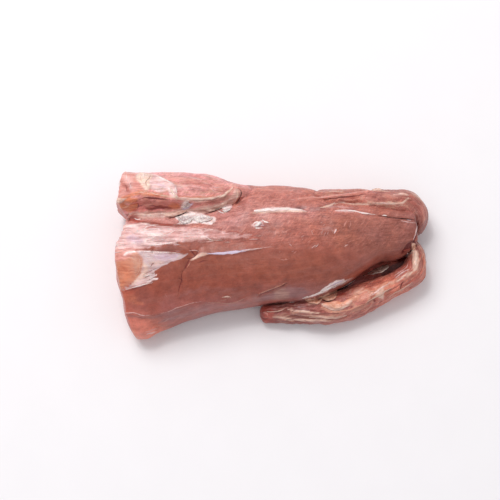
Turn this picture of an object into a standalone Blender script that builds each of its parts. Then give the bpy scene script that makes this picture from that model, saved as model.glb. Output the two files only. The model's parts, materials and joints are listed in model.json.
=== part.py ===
"""A raw pork tenderloin, trimmed and laid down to rest on its flat underside.

It is one piece of meat, so it is one solid. Its muscles are skins carried along paths: the main
muscle, the folded flap over its head, the outer lobe that wraps round its narrow end, the tail
strip that lies along its near side, and the web of meat that closes the cleft beside the strip.
They are joined by one union. Lengths are in millimetres here and in metres in the model.
The head is at -X, the narrow end at +X, the near side at -Y and up is +Z.
"""

from dataclasses import dataclass
from typing import NamedTuple

import bpy
import numpy as np

METRES_PER_MM = 0.001

# Moves the finished meat so that the middle of its box in plan is the origin
CENTRING = (-0.5, 0.25)

# Meat below the floor is cut off flat, which makes the face that the piece rests on
FLOOR_Z = 0.0
FLOOR_CUTTER_SIZE = (260.0, 160.0, 30.0)

# Rings of points in each rounded end
CAP_RINGS = 6
# Each fine skin is thinned to this share of its triangles, most of them kept where the relief is
KEPT_SHARE = 0.27


class Station(NamedTuple):
    """A cross-section of a muscle.

    It holds the path's place in plan, the reach to the near and the far side, the heights of the
    top and the underside, the heights of the widest part on the near and the far side, and how
    full the near shoulder, the far shoulder and the underside are, where 2 is an ellipse.
    """

    x: float
    y: float
    near: float
    far: float
    top: float
    base: float
    near_wide: float
    far_wide: float
    near_full: float
    far_full: float
    under_full: float


@dataclass(frozen=True)
class Muscle:
    """One muscle: its stations, how finely it is drawn, and how its two ends are rounded.

    A rim is the length over which an end closes, and its flatness is how square that end is cut.
    """

    name: str
    stations: tuple[Station, ...]
    rings: int
    points_over: int
    points_under: int
    start_rim: float
    end_rim: float
    start_flatness: float
    end_flatness: float


MAIN = Muscle(
    name="main_muscle",
    stations=(
        Station(-85.6, 2.0, 47.8, 37.0, 34.6, -1.2, 8.0, 16.0, 1.80, 1.60, 3.4),
        Station(-75.0, 2.0, 47.2, 37.0, 37.2, -1.2, 8.0, 16.0, 1.85, 1.60, 3.4),
        Station(-65.0, 2.0, 43.8, 36.5, 38.0, -1.2, 8.5, 16.0, 1.90, 1.60, 3.4),
        Station(-55.0, 2.0, 41.0, 36.2, 38.0, -1.2, 9.0, 16.0, 1.95, 1.62, 3.4),
        Station(-44.0, 2.0, 36.9, 36.2, 38.0, -1.2, 10.0, 16.0, 2.05, 1.66, 3.4),
        Station(-34.0, 2.0, 33.6, 36.2, 38.0, -1.2, 10.5, 17.0, 2.15, 1.78, 3.4),
        Station(-20.0, 2.0, 31.2, 36.5, 38.0, -1.2, 11.0, 17.0, 2.20, 2.00, 3.4),
        Station(-4.0, 2.5, 29.0, 35.7, 37.8, -1.2, 11.5, 17.0, 2.25, 2.20, 3.2),
        Station(14.0, 4.0, 29.4, 34.2, 37.2, -1.2, 12.0, 16.5, 2.25, 2.20, 3.0),
        Station(26.0, 5.5, 27.8, 32.4, 36.6, -1.2, 12.5, 16.0, 2.25, 2.15, 2.8),
        Station(36.0, 7.0, 24.2, 27.0, 35.6, -1.2, 13.0, 15.5, 2.25, 2.10, 2.6),
        Station(47.0, 8.8, 18.2, 22.0, 34.2, -1.2, 14.0, 15.0, 2.25, 2.15, 2.4),
        Station(57.0, 10.6, 14.6, 17.6, 32.6, -1.2, 15.0, 15.0, 2.30, 2.30, 2.2),
        Station(67.0, 12.2, 14.6, 13.4, 30.8, -1.2, 15.5, 15.0, 2.40, 2.50, 2.2),
        Station(74.0, 13.0, 12.4, 11.4, 29.2, -1.2, 16.0, 15.0, 2.50, 2.60, 2.3),
        Station(79.0, 13.4, 9.4, 10.2, 28.2, 0.5, 16.0, 15.0, 2.60, 2.70, 2.4),
    ),
    rings=132,
    points_over=72,
    points_under=16,
    start_rim=2.6,
    end_rim=2.0,
    start_flatness=3.2,
    end_flatness=3.6,
)

FLAP = Muscle(
    name="flap",
    stations=(
        Station(-85.6, 28.0, 12.5, 17.2, 35.6, 2.0, 19.0, 20.0, 1.50, 2.1, 2.4),
        Station(-75.0, 28.3, 13.0, 16.4, 38.6, 1.5, 20.0, 20.0, 1.50, 2.0, 2.4),
        Station(-60.0, 28.8, 13.5, 16.1, 39.6, 1.5, 21.0, 20.0, 1.50, 1.9, 2.4),
        Station(-46.0, 28.4, 13.0, 16.5, 39.0, 1.5, 21.0, 20.0, 1.50, 1.9, 2.4),
        Station(-34.0, 28.6, 12.0, 15.8, 37.4, 2.0, 21.0, 19.0, 1.55, 1.9, 2.4),
        Station(-25.0, 29.8, 10.0, 11.6, 35.0, 3.0, 20.0, 19.0, 1.65, 1.9, 2.4),
        Station(-17.0, 31.8, 8.0, 6.4, 31.6, 5.0, 19.0, 18.0, 1.80, 2.0, 2.2),
        Station(-9.0, 32.6, 6.0, 3.6, 27.6, 7.0, 18.0, 17.0, 2.00, 2.0, 2.2),
    ),
    rings=70,
    points_over=36,
    points_under=10,
    start_rim=1.8,
    end_rim=4.0,
    start_flatness=3.4,
    end_flatness=2.0,
)

OUTER_LOBE = Muscle(
    name="outer_lobe",
    stations=(
        Station(10.0, 29.0, 4.0, 3.0, 26.0, 3.0, 17.0, 17.0, 2.0, 2.0, 2.4),
        Station(26.0, 29.2, 7.0, 7.4, 30.2, 0.0, 16.0, 15.0, 2.0, 1.9, 2.6),
        Station(42.0, 29.2, 8.4, 7.2, 30.0, -1.2, 15.0, 14.0, 2.0, 1.9, 2.8),
        Station(55.0, 28.4, 9.2, 8.2, 28.4, -1.2, 14.0, 14.0, 2.0, 2.0, 2.8),
        Station(66.0, 27.2, 9.6, 10.0, 26.8, -1.2, 13.0, 13.0, 2.1, 2.1, 2.8),
        Station(74.5, 25.0, 9.0, 10.8, 24.8, -1.2, 12.0, 12.0, 2.1, 2.2, 2.6),
        Station(79.4, 20.6, 8.4, 7.2, 22.0, -1.2, 11.0, 11.0, 2.1, 2.3, 2.4),
        Station(79.4, 16.6, 7.2, 4.8, 19.6, -1.2, 10.0, 10.0, 2.1, 2.3, 2.4),
        Station(77.8, 12.8, 6.0, 2.8, 16.6, 0.4, 9.0, 9.0, 2.0, 2.1, 2.2),
    ),
    rings=64,
    points_over=30,
    points_under=10,
    start_rim=4.0,
    end_rim=4.0,
    start_flatness=2.0,
    end_flatness=2.0,
)

STRIP = Muscle(
    name="tail_strip",
    stations=(
        Station(-6.8, -30.8, 5.2, 5.4, 9.6, -0.8, 5.0, 5.0, 2.1, 2.1, 2.4),
        Station(6.0, -30.4, 5.8, 5.8, 13.6, -1.0, 6.0, 6.5, 2.1, 2.1, 2.6),
        Station(18.0, -29.6, 6.8, 6.8, 15.4, -1.0, 6.5, 8.0, 2.1, 2.1, 2.6),
        Station(30.0, -28.4, 8.0, 7.6, 16.4, -1.0, 6.5, 9.0, 2.1, 2.1, 2.6),
        Station(42.0, -25.8, 8.8, 8.2, 17.4, -1.0, 6.5, 9.0, 2.0, 2.0, 2.6),
        Station(54.0, -21.6, 7.4, 8.2, 18.2, -1.0, 7.0, 9.0, 2.0, 2.0, 2.6),
        Station(64.0, -17.4, 5.9, 7.4, 18.8, -1.0, 8.0, 9.5, 2.0, 2.0, 2.4),
        Station(72.5, -12.6, 5.9, 6.6, 19.8, -0.6, 9.0, 10.0, 2.0, 2.0, 2.2),
        Station(78.2, -6.6, 6.6, 6.2, 21.0, 1.2, 11.0, 11.0, 2.0, 2.0, 2.1),
        Station(79.4, -0.8, 5.0, 5.8, 22.0, 4.0, 14.0, 13.0, 2.0, 2.0, 2.0),
        Station(77.4, 4.0, 3.8, 4.0, 22.0, 7.0, 15.0, 15.0, 2.0, 2.0, 2.0),
        Station(72.0, 7.6, 3.4, 3.4, 20.0, 9.0, 14.0, 14.0, 2.0, 2.0, 2.0),
    ),
    rings=84,
    points_over=30,
    points_under=10,
    start_rim=4.0,
    end_rim=3.0,
    start_flatness=2.4,
    end_flatness=2.0,
)

WEB = Muscle(
    name="web",
    stations=(
        Station(24.0, -18.0, 6.0, 6.0, 6.0, -1.0, 2.0, 2.0, 2.0, 2.0, 2.6),
        Station(40.0, -15.0, 9.0, 9.0, 6.6, -1.0, 2.0, 2.0, 2.0, 2.0, 2.6),
        Station(56.0, -9.0, 10.0, 10.0, 5.8, -1.0, 2.0, 2.0, 2.0, 2.0, 2.6),
        Station(68.0, -4.0, 10.6, 9.0, 6.4, -1.0, 2.0, 2.0, 2.0, 2.0, 2.6),
        Station(78.0, 0.0, 8.6, 7.0, 7.6, -0.8, 3.0, 3.0, 2.0, 2.0, 2.6),
    ),
    rings=22,
    points_over=16,
    points_under=6,
    start_rim=3.0,
    end_rim=4.0,
    start_flatness=2.0,
    end_flatness=2.0,
)

# How far the head's cut is set back from its foremost plane, as pairs of the place across and
# the setback, and how far along the muscle that reaches
HEAD_SETBACK = (
    (-47.0, 10.0),
    (-44.0, 8.6),
    (-37.0, 6.0),
    (-30.0, 4.0),
    (-22.0, 2.8),
    (-14.0, 0.8),
    (-6.0, 0.2),
    (2.0, 0.6),
    (8.0, 2.6),
    (13.0, 3.6),
    (20.0, 4.4),
    (26.0, 4.0),
    (45.0, 5.0),
)
FLAP_SETBACK = (
    (12.0, 5.0),
    (20.0, 4.0),
    (23.0, 2.2),
    (25.6, 0.0),
    (29.0, 1.6),
    (35.0, 2.4),
    (40.0, 3.0),
    (46.0, 3.4),
)
SETBACK_REACH = 30.0

# How far the foot of the narrow end lies back under its rim, how far along that reaches, and
# the height at which it starts
END_UNDERCUT = 4.0
END_UNDERCUT_REACH = 14.0
END_UNDERCUT_HEIGHT = 26.0

# The slow rise and fall of soft meat: its height, the height above the floor at which it is whole,
# and the lengths of its three waves
SWELL_HEIGHT = 0.5
SWELL_WHOLE_AT = 12.0
SWELL_LENGTHS = (57.0, 43.0, 33.0)
# How far the second wave bends the first and where it starts, in radians
SWELL_BEND = 1.1
SWELL_SECOND_START = 0.6
# The third wave's share, where it starts in radians, and its run across and up for each mm along
SWELL_THIRD_SHARE = 0.6
SWELL_THIRD_START = 2.1
SWELL_THIRD_SLANT = (0.8, -0.5)


@dataclass(frozen=True)
class Crease:
    """A line of relief drawn in plan: a ridge where its height is above 0, or else a groove."""

    name: str
    line: tuple[tuple[float, float], ...]
    width: float
    height: float


MAIN_CREASES = (
    Crease(
        name="groove under the flap",
        line=((-84, 18), (-66, 17), (-51, 14), (-44, 16.5), (-33, 18.5), (-24, 22), (-19, 27)),
        width=4.0,
        height=-2.6,
    ),
    Crease(
        name="edge of the lower band",
        line=((-82, -33), (-64, -34), (-45, -27.5), (-34, -26), (-18, -26), (-6, -21), (5, -16)),
        width=2.0,
        height=0.8,
    ),
    Crease(
        name="nick across the silver skin",
        line=((-40, -2), (-44, -5), (-46, -10), (-49, -16), (-50, -23)),
        width=2.0,
        height=-1.1,
    ),
    Crease(
        name="edge of the silver skin",
        line=((-68, 0.5), (-50, -1), (-38, -3.5), (-26, -2.5), (-10, 0)),
        width=1.8,
        height=0.5,
    ),
    Crease(
        name="sinew along the back",
        line=((-8, 21.5), (2, 23.5), (14, 24), (25, 22.5)),
        width=1.6,
        height=0.6,
    ),
    Crease(
        name="lip at the outer seam",
        line=((30, 24), (39, 26), (50, 25), (56, 23.5)),
        width=1.8,
        height=0.8,
    ),
    Crease(
        name="first fold of the membrane",
        line=((-80, 12), (-64, 10), (-44, 11), (-30, 9)),
        width=1.6,
        height=0.6,
    ),
    Crease(
        name="second fold of the membrane",
        line=((-80, 6), (-60, 6.5), (-42, 5), (-24, 5.5)),
        width=1.6,
        height=0.6,
    ),
)
FLAP_CREASES = (
    Crease(
        name="fold of the flap",
        line=((-82, 25.5), (-76, 25), (-66, 27.5), (-58, 26.5), (-39, 26), (-27, 27.5)),
        width=1.8,
        height=1.0,
    ),
    Crease(
        name="slot in the shaded side",
        line=((-80, 22), (-68, 22.5), (-58, 22), (-46, 21.5)),
        width=2.0,
        height=-1.4,
    ),
    Crease(
        name="edge of the fat",
        line=((-72, 40), (-66, 33), (-56, 31), (-49, 30.5)),
        width=1.8,
        height=0.6,
    ),
)
LOBE_CREASES = (
    Crease(
        name="sinew on the outer lobe",
        line=((32, 26), (44, 27), (64, 27.5), (71, 28.5), (79, 33)),
        width=1.4,
        height=0.6,
    ),
    Crease(
        name="groove at the far edge",
        line=((26, 30.5), (39, 32), (55, 35.5)),
        width=1.6,
        height=-0.9,
    ),
)
STRIP_CREASES = (
    Crease(
        name="first sinew of the strip",
        line=((2, -29), (18, -30), (34, -31), (48, -28), (60, -22)),
        width=1.2,
        height=0.6,
    ),
    Crease(
        name="second sinew of the strip",
        line=((4, -33), (20, -33.5), (36, -32.5)),
        width=1.2,
        height=0.5,
    ),
    Crease(
        name="lip of the strip",
        line=((26, -27), (34, -29.5), (40, -28.5), (46, -24)),
        width=1.4,
        height=0.8,
    ),
    Crease(
        name="ridge near the join",
        line=((66, -15), (73, -11), (76, -6)),
        width=1.4,
        height=0.7,
    ),
)
# A crease is at full height where the skin faces up this much or more
FULL_CREASE_TILT = 1.0 / 3.0


def smooth_values(places: np.ndarray, values: np.ndarray, at: np.ndarray) -> np.ndarray:
    """Smooth curves through rows of values, one row for each place, read where asked."""
    steps = np.diff(places)
    slopes = np.diff(values, axis=0) / steps[:, None]
    weight = (steps[1:] / (steps[1:] + steps[:-1]))[:, None]
    tangents = np.empty_like(values)
    tangents[0] = slopes[0]
    tangents[-1] = slopes[-1]
    tangents[1:-1] = slopes[:-1] * weight + slopes[1:] * (1.0 - weight)
    span = np.clip(np.searchsorted(places, at, side="right") - 1, 0, len(steps) - 1)
    width = steps[span][:, None]
    t = ((at - places[span])[:, None] / width).clip(0.0, 1.0)
    return (
        (2 * t**3 - 3 * t**2 + 1) * values[span]
        + (t**3 - 2 * t**2 + t) * width * tangents[span]
        + (3 * t**2 - 2 * t**3) * values[span + 1]
        + (t**3 - t**2) * width * tangents[span + 1]
    )


def cap(rim: float, flatness: float) -> tuple[np.ndarray, np.ndarray]:
    """The rings of a rounded end, from its tip inwards: how far in each is, and its scale."""
    turn = np.linspace(0.0, np.pi / 2, CAP_RINGS + 1)[1:]
    inset = rim * (1.0 - np.cos(turn) ** (2 / flatness))
    scale = np.sin(turn) ** (2 / flatness)
    return inset, scale


def muscle_rings(muscle: Muscle) -> np.ndarray:
    """The skin as rings of points, from the near side over the top and back underneath."""
    stations = np.array(muscle.stations)
    legs = np.hypot(*np.diff(stations[:, :2], axis=0).T)
    run = np.concatenate([[0.0], np.cumsum(legs)])
    start_inset, start_scale = cap(muscle.start_rim, muscle.start_flatness)
    end_inset, end_scale = cap(muscle.end_rim, muscle.end_flatness)
    body = np.linspace(muscle.start_rim, run[-1] - muscle.end_rim, muscle.rings)[1:-1]
    places = np.concatenate([start_inset, body, run[-1] - end_inset[::-1]])
    scales = np.concatenate([start_scale, np.ones(len(body)), end_scale[::-1]])[:, None]
    ring = Station(*(column[:, None] for column in smooth_values(run, stations, places).T))

    along = np.gradient(np.hstack([ring.x, ring.y]), places, axis=0)
    along /= np.linalg.norm(along, axis=1, keepdims=True)
    over = np.linspace(0.0, np.pi, muscle.points_over, endpoint=False)
    under = np.linspace(np.pi, 2 * np.pi, muscle.points_under, endpoint=False)
    turn = np.concatenate([over, under])[None, :]
    is_near = np.cos(turn) > 0
    is_over = turn < np.pi
    shoulder = np.where(is_near, ring.near_full, ring.far_full)
    fullness = np.where(is_over, shoulder, ring.under_full)
    offset = np.where(is_near, -ring.near, ring.far) * np.abs(np.cos(turn)) ** (2 / fullness)
    share = (offset + ring.near) / (ring.near + ring.far)
    widest = ring.near_wide * (1 - share) + ring.far_wide * share
    limit = np.where(is_over, ring.top, ring.base)
    height = widest + (limit - widest) * np.abs(np.sin(turn)) ** (2 / fullness)

    middle = 0.5 * (ring.far - ring.near)
    level = 0.5 * (ring.top + ring.base)
    offset = middle + (offset - middle) * scales
    height = level + (height - level) * scales
    return np.stack([ring.x - along[:, 1:] * offset, ring.y + along[:, :1] * offset, height], axis=2)


def set_back(rings: np.ndarray, outline: tuple, plane: float) -> None:
    """Moves the rings near the head so that its cut follows the outline in plan."""
    across, setback = np.array(outline).T
    amount = np.interp(rings[..., 1], across, setback)
    nearness = np.clip(1.0 - (rings[..., 0] - plane) / SETBACK_REACH, 0.0, 1.0)
    rings[..., 0] += amount * nearness**2 * (3 - 2 * nearness)


def undercut(rings: np.ndarray) -> None:
    """Draws the foot of the narrow end in under its rim."""
    end = rings[..., 0].max()
    nearness = np.clip(1.0 - (end - rings[..., 0]) / END_UNDERCUT_REACH, 0.0, 1.0)
    depth = np.clip(1.0 - rings[..., 2] / END_UNDERCUT_HEIGHT, 0.0, 1.0)
    rings[..., 0] -= END_UNDERCUT * depth * nearness**2


def skin_normals(rings: np.ndarray) -> np.ndarray:
    """The outward direction of the skin at every point."""
    along = np.gradient(rings, axis=0)
    around = np.roll(rings, -1, axis=1) - np.roll(rings, 1, axis=1)
    normals = np.cross(along, around)
    lengths = np.linalg.norm(normals, axis=2, keepdims=True)
    return normals / np.maximum(lengths, 1e-9)


def swell(rings: np.ndarray) -> None:
    """Gives the skin a slow, uneven rise and fall, which fades out towards the floor."""
    first, second, third = (2 * np.pi / length for length in SWELL_LENGTHS)
    x, y, z = np.moveaxis(rings, 2, 0)
    slant_y, slant_z = SWELL_THIRD_SLANT
    wave = np.sin(first * x + SWELL_BEND * np.sin(second * y))
    wave *= np.cos(second * (y + z) + SWELL_SECOND_START)
    slanted = third * (x + slant_y * y + slant_z * z) + SWELL_THIRD_START
    wave += SWELL_THIRD_SHARE * np.sin(slanted)
    fade = np.clip(z / SWELL_WHOLE_AT, 0.0, 1.0)
    rings += skin_normals(rings) * (SWELL_HEIGHT * wave * fade)[..., None]


def line_distance(places: np.ndarray, line: tuple) -> np.ndarray:
    """The distance in plan from each place to a line of straight legs."""
    corners = np.array(line, float)
    nearest = np.full(places.shape[:-1], np.inf)
    for start, end in zip(corners[:-1], corners[1:]):
        leg = end - start
        share = ((places - start) @ leg / (leg @ leg)).clip(0.0, 1.0)
        gap = places - start - share[..., None] * leg
        nearest = np.minimum(nearest, np.hypot(gap[..., 0], gap[..., 1]))
    return nearest


def carve(rings: np.ndarray, creases: tuple[Crease, ...]) -> None:
    """Raises or sinks the upper skin along each crease."""
    normals = skin_normals(rings)
    faces_up = np.clip(normals[..., 2] / FULL_CREASE_TILT, 0.0, 1.0)
    for crease in creases:
        gap = line_distance(rings[..., :2], crease.line)
        push = crease.height * np.exp(-((gap / crease.width) ** 2)) * faces_up
        rings += normals * push[..., None]


def skin_object(name: str, rings: np.ndarray, group: bpy.types.Collection) -> bpy.types.Object:
    """A closed mesh object from rings of points, with one more point in the middle of each end."""
    count, around = rings.shape[:2]
    poles = np.stack([rings[0].mean(axis=0), rings[-1].mean(axis=0)])
    points = np.concatenate([rings.reshape(-1, 3), poles])
    points[:, :2] += CENTRING
    here = np.arange(around)
    there = (here + 1) % around
    row = np.arange(count - 1)[:, None] * around
    quads = np.stack([row + here, row + around + here, row + around + there, row + there], axis=2)
    last_row = (count - 1) * around
    first_pole = np.full(around, count * around)
    start_fan = np.stack([first_pole, here, there], axis=1)
    end_fan = np.stack([first_pole + 1, last_row + there, last_row + here], axis=1)
    faces = quads.reshape(-1, 4).tolist() + start_fan.tolist() + end_fan.tolist()
    mesh = bpy.data.meshes.new(name)
    mesh.from_pydata((points * METRES_PER_MM).tolist(), [], faces)
    mesh.shade_smooth()
    made = bpy.data.objects.new(name, mesh)
    group.objects.link(made)
    return made


def apply_modifier(target: bpy.types.Object, kind: str, **settings: object) -> None:
    """Adds one modifier with these settings to the target and applies it."""
    modifier = target.modifiers.new(kind.lower(), kind)
    for name, value in settings.items():
        setattr(modifier, name, value)
    bpy.context.view_layer.objects.active = target
    bpy.ops.object.modifier_apply(modifier=modifier.name)


def muscle_object(
    muscle: Muscle, rings: np.ndarray, creases: tuple[Crease, ...], group: bpy.types.Collection
) -> bpy.types.Object:
    """The muscle's skin with its swell and creases, thinned."""
    swell(rings)
    carve(rings, creases)
    made = skin_object(muscle.name, rings, group)
    apply_modifier(made, "DECIMATE", ratio=KEPT_SHARE)
    return made


def floor_cutter(group: bpy.types.Collection) -> bpy.types.Object:
    """The block below the floor, which trims the underside flat."""
    size = np.array(FLOOR_CUTTER_SIZE)
    place = np.array([0.0, 0.0, FLOOR_Z - size[2] / 2])
    bpy.ops.mesh.primitive_cube_add(size=1.0, location=(place * METRES_PER_MM).tolist())
    cutter = bpy.context.object
    cutter.name = "floor_cutter"
    cutter.scale = (size * METRES_PER_MM).tolist()
    cutter.hide_render = True
    cutter.display_type = "WIRE"
    cutter.users_collection[0].objects.unlink(cutter)
    group.objects.link(cutter)
    return cutter


def raw_meat_finish() -> bpy.types.Material:
    """Moist raw pork: a brownish pink with a soft shine."""
    finish = bpy.data.materials.new("raw_meat")
    finish.use_nodes = True
    shader = finish.node_tree.nodes["Principled BSDF"]
    shader.inputs["Base Color"].default_value = (0.41, 0.15, 0.11, 1.0)
    shader.inputs["Roughness"].default_value = 0.42
    shader.inputs["Metallic"].default_value = 0.0
    return finish


def new_collection(name: str) -> bpy.types.Collection:
    """A collection in the scene."""
    made = bpy.data.collections.new(name)
    bpy.context.scene.collection.children.link(made)
    return made


def main() -> None:
    """Builds the tenderloin."""
    for leftover in list(bpy.data.objects):
        bpy.data.objects.remove(leftover, do_unlink=True)
    parts = new_collection("pork_tenderloin")
    muscles = new_collection("muscles_to_join")
    cutters = new_collection("cutters")

    main_rings = muscle_rings(MAIN)
    set_back(main_rings, HEAD_SETBACK, MAIN.stations[0].x)
    undercut(main_rings)
    flap_rings = muscle_rings(FLAP)
    set_back(flap_rings, FLAP_SETBACK, FLAP.stations[0].x)

    tenderloin = muscle_object(MAIN, main_rings, MAIN_CREASES, parts)
    tenderloin.name = "tenderloin"
    muscle_object(FLAP, flap_rings, FLAP_CREASES, muscles)
    muscle_object(OUTER_LOBE, muscle_rings(OUTER_LOBE), LOBE_CREASES, muscles)
    muscle_object(STRIP, muscle_rings(STRIP), STRIP_CREASES, muscles)
    muscle_object(WEB, muscle_rings(WEB), (), muscles)

    # EXACT leaves a sealed sliver here, where four muscles meet at the narrow end
    apply_modifier(
        tenderloin,
        "BOOLEAN",
        operation="UNION",
        operand_type="COLLECTION",
        collection=muscles,
        solver="MANIFOLD",
    )
    for piece in list(muscles.objects):
        bpy.data.objects.remove(piece, do_unlink=True)
    cutter = floor_cutter(cutters)
    apply_modifier(tenderloin, "BOOLEAN", operation="DIFFERENCE", object=cutter, solver="EXACT")
    tenderloin.data.materials.clear()
    tenderloin.data.materials.append(raw_meat_finish())


main()
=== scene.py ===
"""The looks of a raw pork tenderloin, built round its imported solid.

One piece of meat stands for the solid: its five muscles are fine skins of the same form, joined and
dressed with fibres, membranes, silver skin, fat and sinews. Thin films and bits of fat lie on it.
Shapes are worked out in millimetres, from the middle of the photographed floor plan, and turned
into metres, in the solid's frame, when a mesh is made.
"""

import json
import logging
import math
from dataclasses import dataclass, replace
from enum import Enum, IntEnum
from itertools import product
from typing import Iterator, NamedTuple, Sequence, Union

import bpy
import numpy as np
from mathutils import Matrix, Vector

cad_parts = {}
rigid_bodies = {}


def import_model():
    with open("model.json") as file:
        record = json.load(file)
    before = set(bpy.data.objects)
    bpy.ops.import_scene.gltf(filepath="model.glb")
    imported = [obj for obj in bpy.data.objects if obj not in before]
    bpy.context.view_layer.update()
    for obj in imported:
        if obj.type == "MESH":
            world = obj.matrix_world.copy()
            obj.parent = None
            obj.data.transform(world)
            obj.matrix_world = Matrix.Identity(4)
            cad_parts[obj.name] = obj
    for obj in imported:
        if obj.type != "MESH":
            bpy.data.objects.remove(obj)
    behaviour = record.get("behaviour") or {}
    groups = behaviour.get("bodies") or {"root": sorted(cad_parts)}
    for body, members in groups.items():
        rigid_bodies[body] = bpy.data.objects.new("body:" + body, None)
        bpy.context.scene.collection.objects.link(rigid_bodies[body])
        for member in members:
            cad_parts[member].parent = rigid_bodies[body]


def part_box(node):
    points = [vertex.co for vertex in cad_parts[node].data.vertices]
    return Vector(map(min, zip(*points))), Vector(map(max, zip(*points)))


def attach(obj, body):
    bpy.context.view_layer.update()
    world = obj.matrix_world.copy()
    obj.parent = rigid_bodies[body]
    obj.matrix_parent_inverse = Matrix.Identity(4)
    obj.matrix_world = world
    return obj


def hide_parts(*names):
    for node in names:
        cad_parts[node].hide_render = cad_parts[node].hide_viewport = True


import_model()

LOG = logging.getLogger("tenderloin")
METRES_PER_MM = 0.001
NODE = "tenderloin"
BODY = "root"

# Moves the meat so that the middle of its box in plan is the origin
CENTRING = (-0.5, 0.25)

# Large primes that mix a noise cell's numbers with the seed, and a shift that keeps those above 0
CELL_FACTORS = np.array((374761393, 668265263, 2246822519), np.uint32)
SEED_FACTOR = 3266489
SEED_START = 17
MIX_FACTOR = np.uint32(1274126177)
CELL_SHIFT = 4096

# How many sets of fine lines the meat's points can hold side by side
LINE_LAYERS = 4

# How strongly moist tissue bends light
MOIST_IOR = 1.38

# Short names for types: a line is the corners of its straight legs in plan
Array = np.ndarray
Socket = bpy.types.NodeSocket
Pair = tuple[float, float]
Triple = tuple[float, float, float]
Screen = tuple[int, int, int]
Line = Sequence[Pair]


class Part(IntEnum):
    """The muscles, by the number that their points hold."""

    ANY = 0
    MAIN = 1
    FLAP = 2
    LOBE = 3
    STRIP = 4
    WEB = 5


# Sums on arrays


def with_third(places: Array, third: float) -> Array:
    """Pairs of coordinates with a third one, the same for all."""
    return np.concatenate([places, np.full((*places.shape[:-1], 1), third)], axis=-1)


def smooth_values(places: Array, values: Array, at: Array) -> Array:
    """Smooth curves through rows of values: cubic Hermite spans with weighted slopes.

    Args:
        places: where each row of values stands.
        values: one row for each place.
        at: where to read the curves.

    Returns:
        One row for each reading.
    """
    steps = np.diff(places)
    slopes = np.diff(values, axis=0) / steps[:, None]
    weight = (steps[1:] / (steps[1:] + steps[:-1]))[:, None]
    tangents = np.empty_like(values)
    tangents[0] = slopes[0]
    tangents[-1] = slopes[-1]
    tangents[1:-1] = slopes[:-1] * weight + slopes[1:] * (1.0 - weight)
    span = np.clip(np.searchsorted(places, at, side="right") - 1, 0, len(steps) - 1)
    width = steps[span][:, None]
    t = ((at - places[span])[:, None] / width).clip(0.0, 1.0)
    return (
        (2 * t**3 - 3 * t**2 + 1) * values[span]
        + (t**3 - 2 * t**2 + t) * width * tangents[span]
        + (3 * t**2 - 2 * t**3) * values[span + 1]
        + (t**3 - t**2) * width * tangents[span + 1]
    )


def smooth_step(low: float, high: float, value: Array) -> Array:
    """A rise from 0 at low to 1 at high with level ends: 3t^2 - 2t^3.

    Args:
        low: the value where the rise starts.
        high: the value where it ends.
        value: what is read.

    Returns:
        The height of the rise at each value.
    """
    t = np.clip((value - low) / (high - low), 0.0, 1.0)
    return t * t * (3.0 - 2.0 * t)


def soft_noise(places: Array, size: Union[float, tuple], seed: int = 0) -> Array:
    """Smooth unevenness from -1 to 1: numbers hashed at whole-numbered corners, blended between.

    Args:
        places: points in mm, with three coordinates each.
        size: the length of a cell, or one length for each coordinate.
        seed: which pattern is drawn.

    Returns:
        One number for each point.
    """
    scaled = places / np.asarray(size, float)
    corner = np.floor(scaled)
    t = scaled - corner
    t = t * t * t * (t * (t * 6.0 - 15.0) + 10.0)
    base = corner.astype(np.int64) + CELL_SHIFT
    total = np.zeros(places.shape[:-1])
    for step in np.array(list(product((0, 1), repeat=3))):
        cell = (base + step).astype(np.uint32)
        hashed = (cell * CELL_FACTORS).sum(axis=-1, dtype=np.uint32)
        hashed += np.uint32(seed * SEED_FACTOR + SEED_START)
        hashed = (hashed ^ (hashed >> np.uint32(13))) * MIX_FACTOR
        hashed ^= hashed >> np.uint32(16)
        share = np.where(step == 1, t, 1.0 - t).prod(axis=-1)
        total += share * ((hashed & np.uint32(0xFFFF)) / 32767.5 - 1.0)
    return total


def layered_noise(places: Array, size: Union[float, tuple], layers: int, seed: int) -> Array:
    """Soft noise in layers, each at half the size and half the height of the one before.

    Args:
        places: points in mm.
        size: the first layer's cell.
        layers: how many layers there are.
        seed: which pattern is drawn.

    Returns:
        One number for each point, mostly from -1 to 1.
    """
    total = np.zeros(places.shape[:-1])
    for layer in range(layers):
        shrink = 0.5**layer
        total += shrink * soft_noise(places, np.asarray(size, float) * shrink, seed + layer)
    return total / (2.0 - 0.5 ** (layers - 1))


def beside(places: Array, corners: Array) -> tuple[Array, Array]:
    """Where places lie beside a line of straight legs in plan.

    Args:
        places: points whose first two coordinates are the plan.
        corners: the corners of the line.

    Returns:
        The distance in mm, below 0 on the line's right, and how many legs along it they lie.
    """
    nearest = np.full(places.shape[:-1], np.inf)
    gap = np.zeros_like(nearest)
    run = np.zeros_like(nearest)
    for number, (start, end) in enumerate(zip(corners[:-1], corners[1:])):
        leg = end - start
        away = places[..., :2] - start
        share = (away @ leg / (leg @ leg)).clip(0.0, 1.0)
        off = away - share[..., None] * leg
        distance = np.hypot(off[..., 0], off[..., 1])
        closer = distance < nearest
        nearest = np.where(closer, distance, nearest)
        turned = leg[0] * off[..., 1] < leg[1] * off[..., 0]
        gap = np.where(closer, np.where(turned, -distance, distance), gap)
        run = np.where(closer, number + share, run)
    return gap, run


def line_distance(places: Array, line: Line) -> Array:
    """The distance in mm in plan from each place to a line of straight legs."""
    return np.abs(beside(places, np.array(line, float))[0])


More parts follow.
